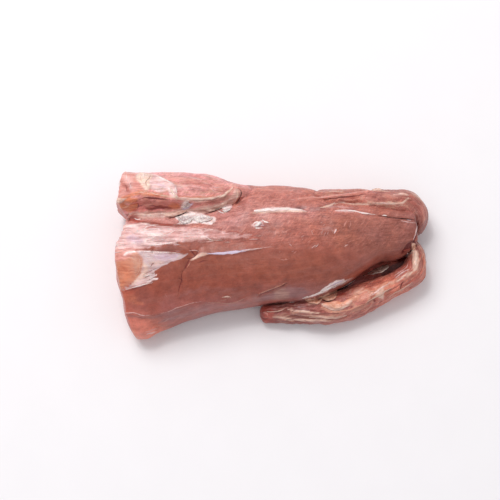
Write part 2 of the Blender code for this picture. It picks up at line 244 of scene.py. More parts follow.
def depth_inside(places: Array, outline: Line) -> Array:
    """How far inside a closed outline in plan each place lies, below 0 outside it.

    The sign comes from counting how many sides a line along X crosses.

    Args:
        places: points whose first two coordinates are the plan.
        outline: the corners, in order, without the first one again.

    Returns:
        The depth in mm.
    """
    closed = [*outline, outline[0]]
    distance = line_distance(places, closed)
    inside = np.zeros(places.shape[:-1], bool)
    x, y = places[..., 0], places[..., 1]
    for (x0, y0), (x1, y1) in zip(closed[:-1], closed[1:]):
        if y0 == y1:
            continue
        crossed = (y0 > y) != (y1 > y)
        inside ^= crossed & (x < (x1 - x0) * (y - y0) / (y1 - y0) + x0)
    return np.where(inside, distance, -distance)


def leg_lengths(corners: Array) -> Array:
    """The lengths in plan of the straight legs between corners."""
    return np.hypot(*np.diff(corners[:, :2], axis=0).T)


def running_sum(lengths: Array) -> Array:
    """How far along each corner lies, from 0 at the first one."""
    return np.concatenate([[0.0], np.cumsum(lengths)])


def even_line(line: Line, count: int) -> Array:
    """A smooth line through corners, as so many places evenly spaced along it."""
    corners = np.array(line, float)
    run = running_sum(leg_lengths(corners))
    return smooth_values(run, corners, np.linspace(0.0, run[-1], count))


# Meshes


def linear(red: int, green: int, blue: int) -> Triple:
    """A colour as it is read off a screen, from 0 to 255, in linear light."""
    return tuple(
        part / 12.92 if part <= 0.04045 else ((part + 0.055) / 1.055) ** 2.4
        for part in (red / 255, green / 255, blue / 255)
    )


def mesh_object(name: str, points: Array, faces: list, collection=None) -> bpy.types.Object:
    """A smooth mesh object from points in mm.

    Args:
        name: the object's name.
        points: rows of three coordinates, before centring.
        faces: lists of point numbers.
        collection: where it goes, or the scene's own collection.

    Returns:
        The object.
    """
    placed = (points + (*CENTRING, 0.0)) * METRES_PER_MM
    mesh = bpy.data.meshes.new(name)
    mesh.from_pydata(placed.tolist(), [], faces)
    if faces:
        mesh.shade_smooth()
    made = bpy.data.objects.new(name, mesh)
    (collection or bpy.context.scene.collection).objects.link(made)
    return made


def read_rows(items: bpy.types.bpy_prop_collection, what: str, width: int) -> Array:
    """One row of so many numbers for each item of a mesh."""
    flat = np.empty(len(items) * width, np.float32)
    items.foreach_get(what, flat)
    return flat.reshape(-1, width).astype(float)


def mesh_points(target: bpy.types.Object) -> Array:
    """The object's points in mm, before centring."""
    return read_rows(target.data.vertices, "co", 3) / METRES_PER_MM - (*CENTRING, 0.0)


def move_points(target: bpy.types.Object, points: Array) -> None:
    """Puts the object's points, in mm before centring, where they are asked to be."""
    placed = (points + (*CENTRING, 0.0)) * METRES_PER_MM
    target.data.vertices.foreach_set("co", placed.astype(np.float32).ravel())
    target.data.update()


def apply_modifier(holder: bpy.types.Object, kind: str, **settings: object) -> None:
    """Adds one modifier with these settings to the holder and applies it."""
    modifier = holder.modifiers.new(kind.lower(), kind)
    for name, value in settings.items():
        setattr(modifier, name, value)
    bpy.context.view_layer.objects.active = holder
    bpy.ops.object.modifier_apply(modifier=modifier.name)


def write_attribute(target: bpy.types.Object, name: str, values: Array) -> None:
    """Stores a number or a colour for every point of the mesh.

    Args:
        target: the object.
        name: the attribute that materials read.
        values: one number, or one row of three, for each point.
    """
    if values.ndim == 1:
        made = target.data.attributes.new(name, "FLOAT", "POINT")
        made.data.foreach_set("value", values.astype(np.float32))
        return
    made = target.data.attributes.new(name, "FLOAT_COLOR", "POINT")
    rows = np.concatenate([values, np.ones((len(values), 1))], axis=1)
    made.data.foreach_set("color", rows.astype(np.float32).ravel())


def write_grain(target: bpy.types.Object, rows: Array) -> None:
    """Stores mm along and around the grain, one row for each corner of a face, as a UV map."""
    layer = target.data.uv_layers.new(name="grain")
    layer.data.foreach_set("uv", (rows * METRES_PER_MM).astype(np.float32).ravel())


def read_attribute(target: bpy.types.Object, name: str) -> Array:
    """The number stored for every point of the mesh."""
    return read_rows(target.data.attributes[name].data, "value", 1)[:, 0]


def point_normals(target: bpy.types.Object) -> Array:
    """The direction straight out of the mesh at each of its points."""
    return read_rows(target.data.vertices, "normal", 3)


def kept_inside(points: Array) -> Array:
    """The points, in mm before centring, with those outside the solid's box moved onto it."""
    middle = (*CENTRING, 0.0)
    lowest, highest = (np.array(corner) / METRES_PER_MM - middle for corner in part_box(NODE))
    return np.clip(points, lowest, highest)


def claim(piece: bpy.types.Object) -> None:
    """Lets the piece ride with the meat's solid and stand for it, which is hidden."""
    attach(piece, BODY)
    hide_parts(NODE)


def skin_normals(rings: Array) -> Array:
    """The direction straight out of a skin: the cross product of its runs along and around.

    Args:
        rings: points as rows along and columns around.

    Returns:
        A direction of length 1 for each point.
    """
    around = np.roll(rings, -1, axis=1) - np.roll(rings, 1, axis=1)
    normals = np.cross(np.gradient(rings, axis=0), around)
    return normals / np.maximum(np.linalg.norm(normals, axis=2, keepdims=True), 1e-9)


# Muscles


class Station(NamedTuple):
    """A cross-section of a muscle.

    It holds the path's place in plan, the reach to the near and the far side, the heights of the
    top and the underside, the heights of the widest part on the near and the far side, and how
    full the near shoulder, the far shoulder and the underside are, where 2 is an ellipse.
    """

    x: float
    y: float
    near: float
    far: float
    top: float
    base: float
    near_wide: float
    far_wide: float
    near_full: float
    far_full: float
    under_full: float


@dataclass(frozen=True)
class Crease:
    """A line of relief drawn in plan: a ridge where its height is above 0, or else a groove."""

    line: Line
    width: float
    height: float

    # A crease is at full height where the skin faces up this much or more
    FULL_TILT = 1.0 / 3.0

    def push(self, places: Array, normals: Array) -> Array:
        """How far the skin moves out: height times exp of minus (distance / width) squared."""
        facing = np.clip(normals[..., 2] / self.FULL_TILT, 0.0, 1.0)
        gap = line_distance(places, self.line)
        return self.height * np.exp(-((gap / self.width) ** 2)) * facing


@dataclass(frozen=True)
class Swell:
    """The slow rise and fall of soft meat, which fades out towards the floor."""

    height: float = 0.5
    whole_at: float = 12.0
    lengths: Triple = (57.0, 43.0, 33.0)
    bend: float = 1.1
    second_start: float = 0.6
    third_share: float = 0.6
    third_start: float = 2.1
    third_slant: Pair = (0.8, -0.5)

    def push(self, places: Array) -> Array:
        """How far the skin moves out: a bent wave times a second one, and a slanted third."""
        first, second, third = (2 * np.pi / length for length in self.lengths)
        x, y, z = np.moveaxis(places, -1, 0)
        slant_y, slant_z = self.third_slant
        wave = np.sin(first * x + self.bend * np.sin(second * y))
        wave *= np.cos(second * (y + z) + self.second_start)
        slanted = third * (x + slant_y * y + slant_z * z) + self.third_start
        wave += self.third_share * np.sin(slanted)
        return self.height * wave * np.clip(z / self.whole_at, 0.0, 1.0)


@dataclass(frozen=True)
class Muscle:
    """One muscle: a closed skin of cross-sections carried along a path.

    A rim is the length over which an end closes, and its flatness is how square that end is cut.
    Fibre sizes are the lengths along and around of the fine ridges, and their height.
    """

    name: str
    number: Part
    stations: tuple[Station, ...]
    start_rim: float
    end_rim: float
    start_flatness: float
    end_flatness: float
    spacing: float
    fibres: Triple
    lumps: Pair = (8.0, 0.22)
    crumple: float = 0.0
    bundles: float = 0.0
    creases: tuple[Crease, ...] = ()

    # How far apart the grain of two muscles lies, so that their patterns differ
    GRAIN_STEP = 400.0

    # The sizes of a crumpled skin's crests and of its bends, and how far those reach, in mm
    CRUMPLE_SIZE = (11.0, 3.2, 1.0)
    BEND_SIZE = 6.0
    BEND_REACH = (1.4, 1.4, 0.0)

    # The size of the bundles on a cut, and how much of their height lies below it
    BUNDLE_SIZE = 2.6
    BUNDLE_SINK = 0.3

    # How much wider than elsewhere the rings of an end are spaced
    CAP_SPACING = 1.5

    # The sine of the turn below which the skin is the underside, and how close its points lie there
    UNDER_TURN = -0.1
    UNDER_SHARE = 0.45

    # The outward direction along X where a cut face begins, and where it is whole
    CUT_FACING = (-0.5, -0.85)

    # The height over the floor from which the relief is whole, in mm
    RELIEF_WHOLE_AT = 4.0

    def cap(self, rim: float, flatness: float, station: Station) -> tuple[Array, Array]:
        """The rings of a rounded end, where (1 - inset/rim)^f + scale^f = 1.

        Args:
            rim: the length over which the end closes.
            flatness: the power f.
            station: the end's cross-section, whose size sets how many rings it takes.

        Returns:
            How far in each ring is and its scale, from the tip inwards.
        """
        turn = np.linspace(0.0, np.pi / 2, 400)
        inset = rim * (1.0 - np.cos(turn) ** (2 / flatness))
        scale = np.sin(turn) ** (2 / flatness)
        radius = 0.5 * (station.near + station.far)
        steps = np.hypot(np.diff(inset), np.diff(scale) * radius)
        run = running_sum(steps)
        count = max(int(run[-1] / (self.CAP_SPACING * self.spacing)), 5)
        at = np.linspace(0.0, run[-1], count + 1)[1:]
        return np.interp(at, run, inset), np.interp(at, run, scale)

    def even_turns(self) -> tuple[Array, Array]:
        """Turns round the middle cross-section, close over the top and wider on the underside.

        Returns:
            The turns, and how many mm round the edge each lies.
        """
        ring = self.stations[len(self.stations) // 2]
        turn = np.linspace(-np.pi / 2, 1.5 * np.pi, 4000)
        cosine, sine = np.cos(turn), np.sin(turn)
        near = cosine > 0
        over = sine > 0
        full = np.where(over, np.where(near, ring.near_full, ring.far_full), ring.under_full)
        across = np.where(near, ring.near, ring.far) * np.abs(cosine) ** (2 / full)
        tall = np.where(over, ring.top - ring.near_wide, ring.near_wide - ring.base)
        rise = tall * np.sign(sine) * np.abs(sine) ** (2 / full)
        edge = np.stack([across * np.sign(cosine), rise], axis=1)
        legs = leg_lengths(edge)
        run = running_sum(legs)
        closeness = np.where(sine[1:] > self.UNDER_TURN, 1.0, self.UNDER_SHARE)
        weighed = running_sum(legs * closeness)
        count = int(weighed[-1] / self.spacing)
        at = np.interp(np.arange(count) * weighed[-1] / count, weighed, turn)
        return at, np.interp(at, turn, run)

    def rings(self) -> tuple[Array, Array]:
        """The skin as rings of points, from the underside up the near side and over the top.

        Offset across the path is reach times |cos|^(2/full), and height is the widest place's
        height plus the rest times |sin|^(2/full).

        Returns:
            The points, and the grain as mm along and mm around for each point.
        """
        stations = np.array(self.stations)
        run = running_sum(leg_lengths(stations))
        start, end = self.stations[0], self.stations[-1]
        start_inset, start_scale = self.cap(self.start_rim, self.start_flatness, start)
        end_inset, end_scale = self.cap(self.end_rim, self.end_flatness, end)
        length = run[-1] - self.start_rim - self.end_rim
        count = int(length / self.spacing)
        body = np.linspace(self.start_rim, run[-1] - self.end_rim, count)[1:-1]
        places = np.concatenate([start_inset, body, run[-1] - end_inset[::-1]])
        scales = np.concatenate([start_scale, np.ones(len(body)), end_scale[::-1]])[:, None]
        ring = Station(*(column[:, None] for column in smooth_values(run, stations, places).T))

        along = np.gradient(np.hstack([ring.x, ring.y]), places, axis=0)
        along /= np.linalg.norm(along, axis=1, keepdims=True)
        turn, round_edge = self.even_turns()
        cosine, sine = np.cos(turn[None, :]), np.sin(turn[None, :])
        shoulder = np.where(cosine > 0, ring.near_full, ring.far_full)
        fullness = np.where(sine > 0, shoulder, ring.under_full)
        reach = np.where(cosine > 0, -ring.near, ring.far)
        offset = reach * np.abs(cosine) ** (2 / fullness)
        share = (offset + ring.near) / (ring.near + ring.far)
        widest = ring.near_wide * (1 - share) + ring.far_wide * share
        limit = np.where(sine > 0, ring.top, ring.base)
        height = widest + (limit - widest) * np.abs(sine) ** (2 / fullness)

        middle = 0.5 * (ring.far - ring.near)
        level = 0.5 * (ring.top + ring.base)
        offset = middle + (offset - middle) * scales
        height = level + (height - level) * scales
        x = ring.x - along[:, 1:] * offset
        points = np.stack([x, ring.y + along[:, :1] * offset, height], axis=2)
        columns = round_edge + self.number * self.GRAIN_STEP
        grain = np.stack(np.broadcast_arrays(places[:, None], columns[None, :]), axis=2)
        return points, grain

    def bend(self, points: Array) -> Array:
        """The rings as they lie, with no further bend."""
        return points

    def relief(self, points: Array, normals: Array, grain: Array) -> Array:
        """How far the skin moves out for its lumps and its lengthwise fibres.

        Args:
            points: the skin's points.
            normals: the skin's directions.
            grain: mm along and mm around.

        Returns:
            The move outwards in mm.
        """
        along, around, height = self.fibres
        flat = with_third(grain, 0.0)
        lump_size, lump_height = self.lumps
        is_cut = smooth_step(*self.CUT_FACING, normals[..., 0])
        push = height * layered_noise(flat, (along, around, 1.0), 2, 11) * (1.0 - is_cut)
        push += lump_height * soft_noise(points, lump_size, 3)
        push += self.crumple * (self.crests(points, grain) - 0.5) * (1.0 - is_cut)
        bundles = np.abs(layered_noise(points, self.BUNDLE_SIZE, 2, 51)) - self.BUNDLE_SINK
        push += self.bundles * is_cut * bundles
        return push * np.clip(points[..., 2] / self.RELIEF_WHOLE_AT, 0.0, 1.0)

    def crests(self, points: Array, grain: Array) -> Array:
        """Where a crumpled skin stands up: 1 minus |noise|, squared, or 0.5 all over a smooth one.

        Args:
            points: the skin's points.
            grain: mm along and mm around.

        Returns:
            A height from 0 to 1 for each point.
        """
        if not self.crumple:
            return np.full(points.shape[:-1], 0.5)
        flat = with_third(grain, 0.0)
        bent = flat + self.BEND_REACH * soft_noise(points, self.BEND_SIZE, 13)[..., None]
        return (1.0 - np.abs(layered_noise(bent, self.CRUMPLE_SIZE, 3, 17))) ** 2

    def object(self, collection: bpy.types.Collection) -> bpy.types.Object:
        """The muscle as a closed object, with its grain as a UV map and its number on each point.

        Args:
            collection: where the object goes.

        Returns:
            The object.
        """
        points, grain = self.rings()
        points = self.bend(points)
        normals = skin_normals(points)
        points += normals * Swell().push(points)[..., None]
        for crease in self.creases:
            points += normals * crease.push(points, normals)[..., None]
        crests = self.crests(points, grain)
        points += normals * self.relief(points, normals, grain)[..., None]

        count, around = points.shape[:2]
        here = np.arange(around)
        there = (here + 1) % around
        row = np.arange(count - 1)[:, None] * around
        quads = np.stack([row + here, row + around + here, row + around + there, row + there], 2)
        last = (count - 1) * around
        pole = np.full(around, count * around)
        start_fan = np.stack([pole, here, there], axis=1)
        end_fan = np.stack([pole + 1, last + there, last + here], axis=1)
        faces = quads.reshape(-1, 4).tolist() + start_fan.tolist() + end_fan.tolist()
        poles = np.stack([points[0].mean(axis=0), points[-1].mean(axis=0)])
        made = mesh_object(self.name, np.concatenate([points.reshape(-1, 3), poles]), faces, collection)
        self.lay_grain(made, grain)
        write_attribute(made, "muscle", np.full(count * around + 2, float(self.number)))
        write_attribute(made, "crest", np.append(crests, (0.5, 0.5)))
        return made

    def lay_grain(self, made: bpy.types.Object, grain: Array) -> None:
        """Writes the grain, whose last column runs on past the first instead of back to it.

        Args:
            made: the muscle's object.
            grain: mm along and mm around for each point.
        """
        count, around = grain.shape[:2]
        step = 2.0 * grain[0, -1, 1] - grain[0, -2, 1] - grain[0, 0, 1]
        wide = np.concatenate([grain, grain[:, :1] + (0.0, step)], axis=1)
        here = np.arange(around)
        row = np.arange(count - 1)[:, None]
        corners = [(row, here), (row + 1, here), (row + 1, here + 1), (row, here + 1)]
        quads = np.stack([wide[rows, columns] for rows, columns in corners], axis=2)
        first = np.stack([wide[0, here], wide[0, here], wide[0, here + 1]], axis=1)
        last = np.stack([wide[-1, here], wide[-1, here + 1], wide[-1, here]], axis=1)
        rows = np.concatenate([quads.reshape(-1, 2), first.reshape(-1, 2), last.reshape(-1, 2)])
        write_grain(made, rows)


@dataclass(frozen=True)
class CutHead:
    """How a cut end is set back from its foremost plane, as pairs of the place across and that."""

    outline: Line
    plane: float
    reach: float = 30.0

    def move(self, points: Array) -> None:
        """Moves the rings near the cut back along the muscle, less and less over the reach."""
        across, setback = np.array(self.outline).T
        amount = np.interp(points[..., 1], across, setback)
        nearness = smooth_step(1.0, 0.0, (points[..., 0] - self.plane) / self.reach)
        points[..., 0] += amount * nearness


@dataclass(frozen=True)
class MainMuscle(Muscle):
    """The long muscle, from the cut head to the steep narrow end."""

    cut: CutHead = CutHead(
        outline=(
            (-47.0, 10.0), (-44.0, 8.6), (-37.0, 6.0), (-30.0, 4.0), (-22.0, 2.8), (-14.0, 0.8),
            (-6.0, 0.2), (2.0, 0.6), (8.0, 2.6), (13.0, 3.6), (20.0, 4.4), (26.0, 4.0), (45.0, 5.0),
        ),
        plane=-85.6,
    )
    undercut: float = 4.0
    undercut_reach: float = 14.0
    undercut_height: float = 26.0

    # Where the far half begins and where it is whole, and the relief's share there and elsewhere
    FAR_HALF = (-4.0, 10.0)
    NEAR_SHARE = 0.45
    FAR_SHARE = 1.2

    def bend(self, points: Array) -> Array:
        """The rings with the head cut aslant and the foot of the narrow end drawn in."""
        self.cut.move(points)
        end = points[..., 0].max()
        nearness = np.clip(1.0 - (end - points[..., 0]) / self.undercut_reach, 0.0, 1.0)
        depth = np.clip(1.0 - points[..., 2] / self.undercut_height, 0.0, 1.0)
        points[..., 0] -= self.undercut * depth * nearness**2
        return points

    def relief(self, points: Array, normals: Array, grain: Array) -> Array:
        """Fibres and lumps, strong on the far half."""
        far_half = smooth_step(*self.FAR_HALF, points[..., 1])
        share = self.NEAR_SHARE + (self.FAR_SHARE - self.NEAR_SHARE) * far_half
        return super().relief(points, normals, grain) * share


@dataclass(frozen=True)
class HeadFlap(Muscle):
    """The flap folded over the head."""

    cut: CutHead = CutHead(
        outline=(
            (12.0, 5.0), (20.0, 4.0), (23.0, 2.2), (25.6, 0.0),
            (29.0, 1.6), (35.0, 2.4), (40.0, 3.0), (46.0, 3.4),
        ),
        plane=-85.6,
    )

    def bend(self, points: Array) -> Array:
        """The rings with the head cut aslant."""
        self.cut.move(points)
        return points


CLEFT = ((32, -22), (39, -17.5), (46.5, -12.5), (53.5, -9), (63.5, -6), (70, -3.5), (74, 1))

MUSCLES = (
    MainMuscle(
        name="main_muscle",
        number=Part.MAIN,
        stations=(
            Station(-85.6, 2, 47.8, 37, 34.6, -1.2, 8, 16, 1.8, 1.6, 3.4),
            Station(-75, 2, 47.2, 37, 37.2, -1.2, 8, 16, 1.85, 1.6, 3.4),
            Station(-65, 2, 43.8, 36.5, 38, -1.2, 8.5, 16, 1.9, 1.6, 3.4),
            Station(-55, 2, 41, 36.2, 38, -1.2, 9, 16, 1.95, 1.62, 3.4),
            Station(-44, 2, 36.9, 36.2, 38, -1.2, 10, 16, 2.05, 1.66, 3.4),
            Station(-34, 2, 33.6, 36.2, 38, -1.2, 10.5, 17, 2.15, 1.78, 3.4),
            Station(-20, 2, 31.2, 36.5, 38, -1.2, 11, 17, 2.2, 2, 3.4),
            Station(-4, 2.5, 29, 35.7, 37.8, -1.2, 11.5, 17, 2.25, 2.2, 3.2),
            Station(14, 4, 29.4, 34.2, 37.2, -1.2, 12, 16.5, 2.25, 2.2, 3),
            Station(26, 5.5, 27.8, 32.4, 36.6, -1.2, 12.5, 16, 2.25, 2.15, 2.8),
            Station(36, 7, 24.2, 27, 35.6, -1.2, 13, 15.5, 2.25, 2.1, 2.6),
            Station(47, 8.8, 18.2, 22, 34.2, -1.2, 14, 15, 2.25, 2.15, 2.4),
            Station(57, 10.6, 14.6, 17.6, 32.6, -1.2, 15, 15, 2.3, 2.3, 2.2),
            Station(67, 12.2, 14.6, 13.4, 30.8, -1.2, 15.5, 15, 2.4, 2.5, 2.2),
            Station(74, 13, 12.4, 11.4, 29.2, -1.2, 16, 15, 2.5, 2.6, 2.3),
            Station(79, 13.4, 9.4, 10.2, 28.2, 0.5, 16, 15, 2.6, 2.7, 2.4),
        ),
        start_rim=2.6,
        end_rim=2.0,
        start_flatness=3.2,
        end_flatness=3.6,
        spacing=0.66,
        fibres=(9.0, 1.6, 0.09),
        lumps=(7.0, 0.34),
        bundles=0.25,
        creases=(
            Crease(
                ((-84, 18), (-66, 17), (-51, 14), (-44, 16.5), (-33, 18.5), (-24, 22), (-19, 27)),
                4, -2.6,
            ),
            Crease(
                ((-80, -33.6), (-70, -35), (-61, -34.4), (-50, -30.6), (-37, -27.8), (-20, -27.4),
                 (-7, -22.4), (5, -17)),
                1.8, 0.9,
            ),
            Crease(((-40, -2), (-44, -5), (-46, -10), (-49, -16), (-50, -23)), 2, -0.6),
            Crease(((-68, 0.5), (-50, -1), (-38, -3.5), (-26, -2.5), (-10, 0)), 1.8, 0.5),
            Crease(((-8, 21.5), (2, 23.5), (14, 24), (25, 22.5)), 1.6, 0.6),
            Crease(((30, 24), (39, 26), (50, 25), (56, 23.5)), 1.8, 0.8),
            Crease(((-80, 12), (-64, 10), (-44, 11), (-30, 9)), 1.6, 0.6),
            Crease(((-80, 6), (-60, 6.5), (-42, 5), (-24, 5.5)), 1.6, 0.6),
        ),
    ),
    HeadFlap(
        name="head_flap",
        number=Part.FLAP,
        stations=(
            Station(-85.6, 28, 12.5, 17.2, 35.6, 2, 19, 20, 1.5, 2.1, 2.4),
            Station(-75, 28.3, 13, 16.4, 38.6, 1.5, 20, 20, 1.5, 2, 2.4),
            Station(-60, 28.8, 13.5, 16.1, 39.6, 1.5, 21, 20, 1.5, 1.9, 2.4),
            Station(-46, 28.4, 13, 16.5, 39, 1.5, 21, 20, 1.5, 1.9, 2.4),
            Station(-34, 28.6, 12, 15.8, 37.4, 2, 21, 19, 1.55, 1.9, 2.4),
            Station(-25, 29.8, 10, 11.6, 35, 3, 20, 19, 1.65, 1.9, 2.4),
            Station(-17, 31.8, 8, 6.4, 31.6, 5, 19, 18, 1.8, 2, 2.2),
            Station(-9, 32.6, 6, 3.6, 27.6, 7, 18, 17, 2, 2, 2.2),
        ),
        start_rim=1.8,
        end_rim=4.0,
        start_flatness=3.4,
        end_flatness=2.0,
        spacing=0.6,
        fibres=(11.0, 1.7, 0.22),
        lumps=(6.0, 0.4),
        crumple=0.5,
        bundles=0.25,
        creases=(
            Crease(((-82, 25.5), (-76, 25), (-66, 27.5), (-58, 26.5), (-39, 26), (-27, 27.5)), 1.8, 1),
            Crease(((-80, 22), (-68, 22.5), (-58, 22), (-46, 21.5)), 2, -1.4),
            Crease(((-72, 40), (-66, 33), (-56, 31), (-49, 30.5)), 1.8, 0.4),
        ),
    ),
    Muscle(
        name="outer_lobe",
        number=Part.LOBE,
        stations=(
            Station(10, 29, 4, 3, 26, 3, 17, 17, 2, 2, 2.4),
            Station(26, 29.2, 7, 7.4, 30.2, 0, 16, 15, 2, 1.9, 2.6),
            Station(42, 29.2, 8.4, 7.2, 30, -1.2, 15, 14, 2, 1.9, 2.8),
            Station(55, 28.4, 9.2, 8.2, 28.4, -1.2, 14, 14, 2, 2, 2.8),
            Station(66, 27.2, 9.6, 10, 26.8, -1.2, 13, 13, 2.1, 2.1, 2.8),
            Station(74.5, 25, 9, 10.8, 24.8, -1.2, 12, 12, 2.1, 2.2, 2.6),
            Station(79.4, 20.6, 8.4, 7.2, 22, -1.2, 11, 11, 2.1, 2.3, 2.4),
            Station(79.4, 16.6, 7.2, 4.8, 19.6, -1.2, 10, 10, 2.1, 2.3, 2.4),
            Station(77.8, 12.8, 6, 2.8, 16.6, 0.4, 9, 9, 2, 2.1, 2.2),
        ),
        start_rim=4.0,
        end_rim=4.0,
        start_flatness=2.0,
        end_flatness=2.0,
        spacing=0.62,
        fibres=(11.0, 1.7, 0.12),
        lumps=(7.0, 0.35),
        crumple=0.4,
        creases=(
            Crease(((26, 30.5), (39, 32), (55, 35.5)), 1.6, -0.9),
        ),
    ),
    Muscle(
        name="tail_strip",
        number=Part.STRIP,
        stations=(
            Station(-6.8, -30.8, 5.2, 5.4, 9.6, -0.8, 5, 5, 2.1, 2.1, 2.4),
            Station(6, -30.4, 5.8, 5.8, 13.6, -1, 6, 6.5, 2.1, 2.1, 2.6),
            Station(18, -29.6, 6.8, 6.8, 15.4, -1, 6.5, 8, 2.1, 2.1, 2.6),
            Station(30, -28.4, 8, 7.6, 16.4, -1, 6.5, 9, 2.1, 2.1, 2.6),
            Station(42, -25.8, 8.8, 8.2, 17.4, -1, 6.5, 9, 2, 2, 2.6),
            Station(54, -21.6, 7.4, 8.2, 18.2, -1, 7, 9, 2, 2, 2.6),
            Station(64, -17.4, 5.9, 7.4, 18.8, -1, 8, 9.5, 2, 2, 2.4),
            Station(72.5, -12.6, 5.9, 6.6, 19.8, -0.6, 9, 10, 2, 2, 2.2),
            Station(78.2, -6.6, 6.6, 6.2, 21, 1.2, 11, 11, 2, 2, 2.1),
            Station(79.4, -0.8, 5, 5.8, 22, 4, 14, 13, 2, 2, 2),
            Station(77.4, 4, 3.8, 4, 22, 7, 15, 15, 2, 2, 2),
            Station(72, 7.6, 3.4, 3.4, 20, 9, 14, 14, 2, 2, 2),
        ),
        start_rim=4.0,
        end_rim=3.0,
        start_flatness=2.4,
        end_flatness=2.0,
        spacing=0.56,
        fibres=(14.0, 1.8, 0.25),
        lumps=(5.0, 0.45),
        crumple=0.8,
        creases=(
            Crease(((26, -27), (34, -29.5), (40, -28.5), (46, -24)), 1.4, 0.8),
            Crease(((66, -15), (73, -11), (76, -6)), 1.4, 0.7),
        ),
    ),
    Muscle(
        name="web",
        number=Part.WEB,
        stations=(
            Station(24, -18, 6, 6, 6, -1, 2, 2, 2, 2, 2.6),
            Station(40, -15, 9, 9, 6.6, -1, 2, 2, 2, 2, 2.6),
            Station(56, -9, 10, 10, 5.8, -1, 2, 2, 2, 2, 2.6),
            Station(68, -4, 10.6, 9, 6.4, -1, 2, 2, 2, 2, 2.6),
            Station(78, 0, 8.6, 7, 7.6, -0.8, 3, 3, 2, 2, 2.6),
        ),
        start_rim=3.0,
        end_rim=4.0,
        start_flatness=2.0,
        end_flatness=2.0,
        spacing=0.9,
        fibres=(14.0, 2.0, 0.3),
    ),
)


# Marks


class Look(NamedTuple):
    """How a tissue looks: its colour as read off a screen, and how glossy it is, from 0 to 1."""

    screen: Screen
    gloss: float


class Tissue(Enum):
    """What shows on the lean meat, with two dark reds that stand for painted shade."""

    FAT = Look((230, 198, 182), 0.35)
    CREAM = Look((222, 184, 166), 0.35)
    BEIGE = Look((200, 154, 142), 0.4)
    WHITE = Look((244, 224, 220), 0.9)
    ROSE = Look((228, 186, 182), 0.3)
    BLUSH = Look((230, 192, 188), 0.4)
    PINK = Look((218, 148, 136), 0.3)
    SILVER = Look((200, 172, 172), 0.9)
    LILAC = Look((202, 172, 188), 0.9)
    STEEL = Look((216, 198, 218), 1.0)
    AMBER = Look((194, 126, 102), 0.8)
    ORANGE = Look((210, 124, 90), 0.6)
    PEACH = Look((226, 160, 134), 0.5)
    TAN = Look((190, 142, 122), 0.4)
    MAUVE = Look((152, 104, 102), 0.5)
    BROWN = Look((146, 84, 72), 0.3)
    RED = Look((172, 80, 68), 0.5)
    MAROON = Look((124, 50, 46), 0.5)
    # Painted shade: a dark red deep in the cleft, and a near-black red in slits, cracks and gaps
    CAVITY_SHADE = Look((104, 26, 22), 0.1)
    SLIT_SHADE = Look((50, 16, 14), 0.4)


# The tissues and the painted shades by their bare names
(
    FAT, CREAM, BEIGE, WHITE, ROSE, BLUSH, PINK, SILVER, LILAC, STEEL, AMBER, ORANGE, PEACH, TAN,
    MAUVE, BROWN, RED, MAROON, CAVITY_SHADE, SLIT_SHADE,
) = Tissue


@dataclass(frozen=True)
class Mark:
    """Some tissue, or a painted shade, that shows on the meat's upper skin, and the low relief that it
    makes.

    Strength is how fully it covers the lean, ragged is how far its border wanders, and folds is
    the height of its lengthwise folds, in mm. It may be kept to one muscle.
    """

    tissue: Tissue
    places: Line
    width: float
    strength: float = 1.0
    height: float = 0.0
    ragged: float = 0.5
    folds: float = 0.0
    muscle: Part = Part.ANY

    def share(self, places: Array) -> Array:
        """How much of the mark each place has, from 0 to 1."""
        raise NotImplementedError

    def nearby(self, points: Array) -> Array:
        """The numbers of the points in a box round the mark."""
        margin = 2.0 * self.width + 2.0 * self.ragged + 1.0
        low = np.min(self.places, axis=0) - margin
        high = np.max(self.places, axis=0) + margin
        return np.flatnonzero(((points[:, :2] > low) & (points[:, :2] < high)).all(axis=1))


@dataclass(frozen=True)
class Stroke(Mark):
    """A mark along a line, widest midway and thin at its ends."""

    # The share of the run that is left off each end of the taper
    THIN_END = 0.04

    def share(self, places: Array) -> Array:
        """exp of minus (distance / width) squared, with the width times sqrt(sin) of the run."""
        corners = np.array(self.places, float)
        gap, run = beside(places, corners)
        starts = running_sum(leg_lengths(corners))
        run = np.interp(run, np.arange(len(starts)), starts) / starts[-1]
        taper = np.sqrt(np.sin(np.pi * (self.THIN_END + (1.0 - 2.0 * self.THIN_END) * run)))
        return np.exp(-((gap / (self.width * taper)) ** 2))


@dataclass(frozen=True)
class Hair(Stroke):
    """A line finer than the mesh, which the material draws from how far off each point lies."""

    strength: float = 0.9
    height: float = 0.2
    ragged: float = 0.3

    SPACING = 0.8
    WAVER = 0.6
    WAVER_SIZE = 2.6
    UNEVEN = 0.4
    UNEVEN_SIZE = 2.2
    REACH = 0.95

    # Half the line's width midway, as a share of the mark's, and how blunt its ends are
    HALF = 0.56
    BLUNTNESS = 0.6

    # What a point holds for half a line's width where no line is near
    FAR = -5.0

    def trace(self, points: Array) -> tuple[Array, Array]:
        """How far each place lies from the line and how wide the line is there.

        Half the width goes with a power of sin(pi s) at s along the line, a little uneven.

        Args:
            points: rows of coordinates in mm.

        Returns:
            The distance, below 0 on the line's right, and half the line's width, both in mm.
        """
        length = leg_lengths(np.array(self.places, float)).cumsum()[-1]
        middle = even_line(self.places, max(int(length / self.SPACING), 6))
        spots = with_third(middle, self.places[0][0])
        waver = np.stack([soft_noise(spots, self.WAVER_SIZE, seed) for seed in (5, 6)], axis=1)
        middle = middle + self.WAVER * self.ragged * waver
        gap, run = beside(points, middle)
        taper = np.sin(np.pi * run / (len(middle) - 1)).clip(0.0, 1.0) ** self.BLUNTNESS
        uneven = 1.0 + self.UNEVEN * soft_noise(points, self.UNEVEN_SIZE, 7)
        return gap, self.HALF * self.width * taper * uneven


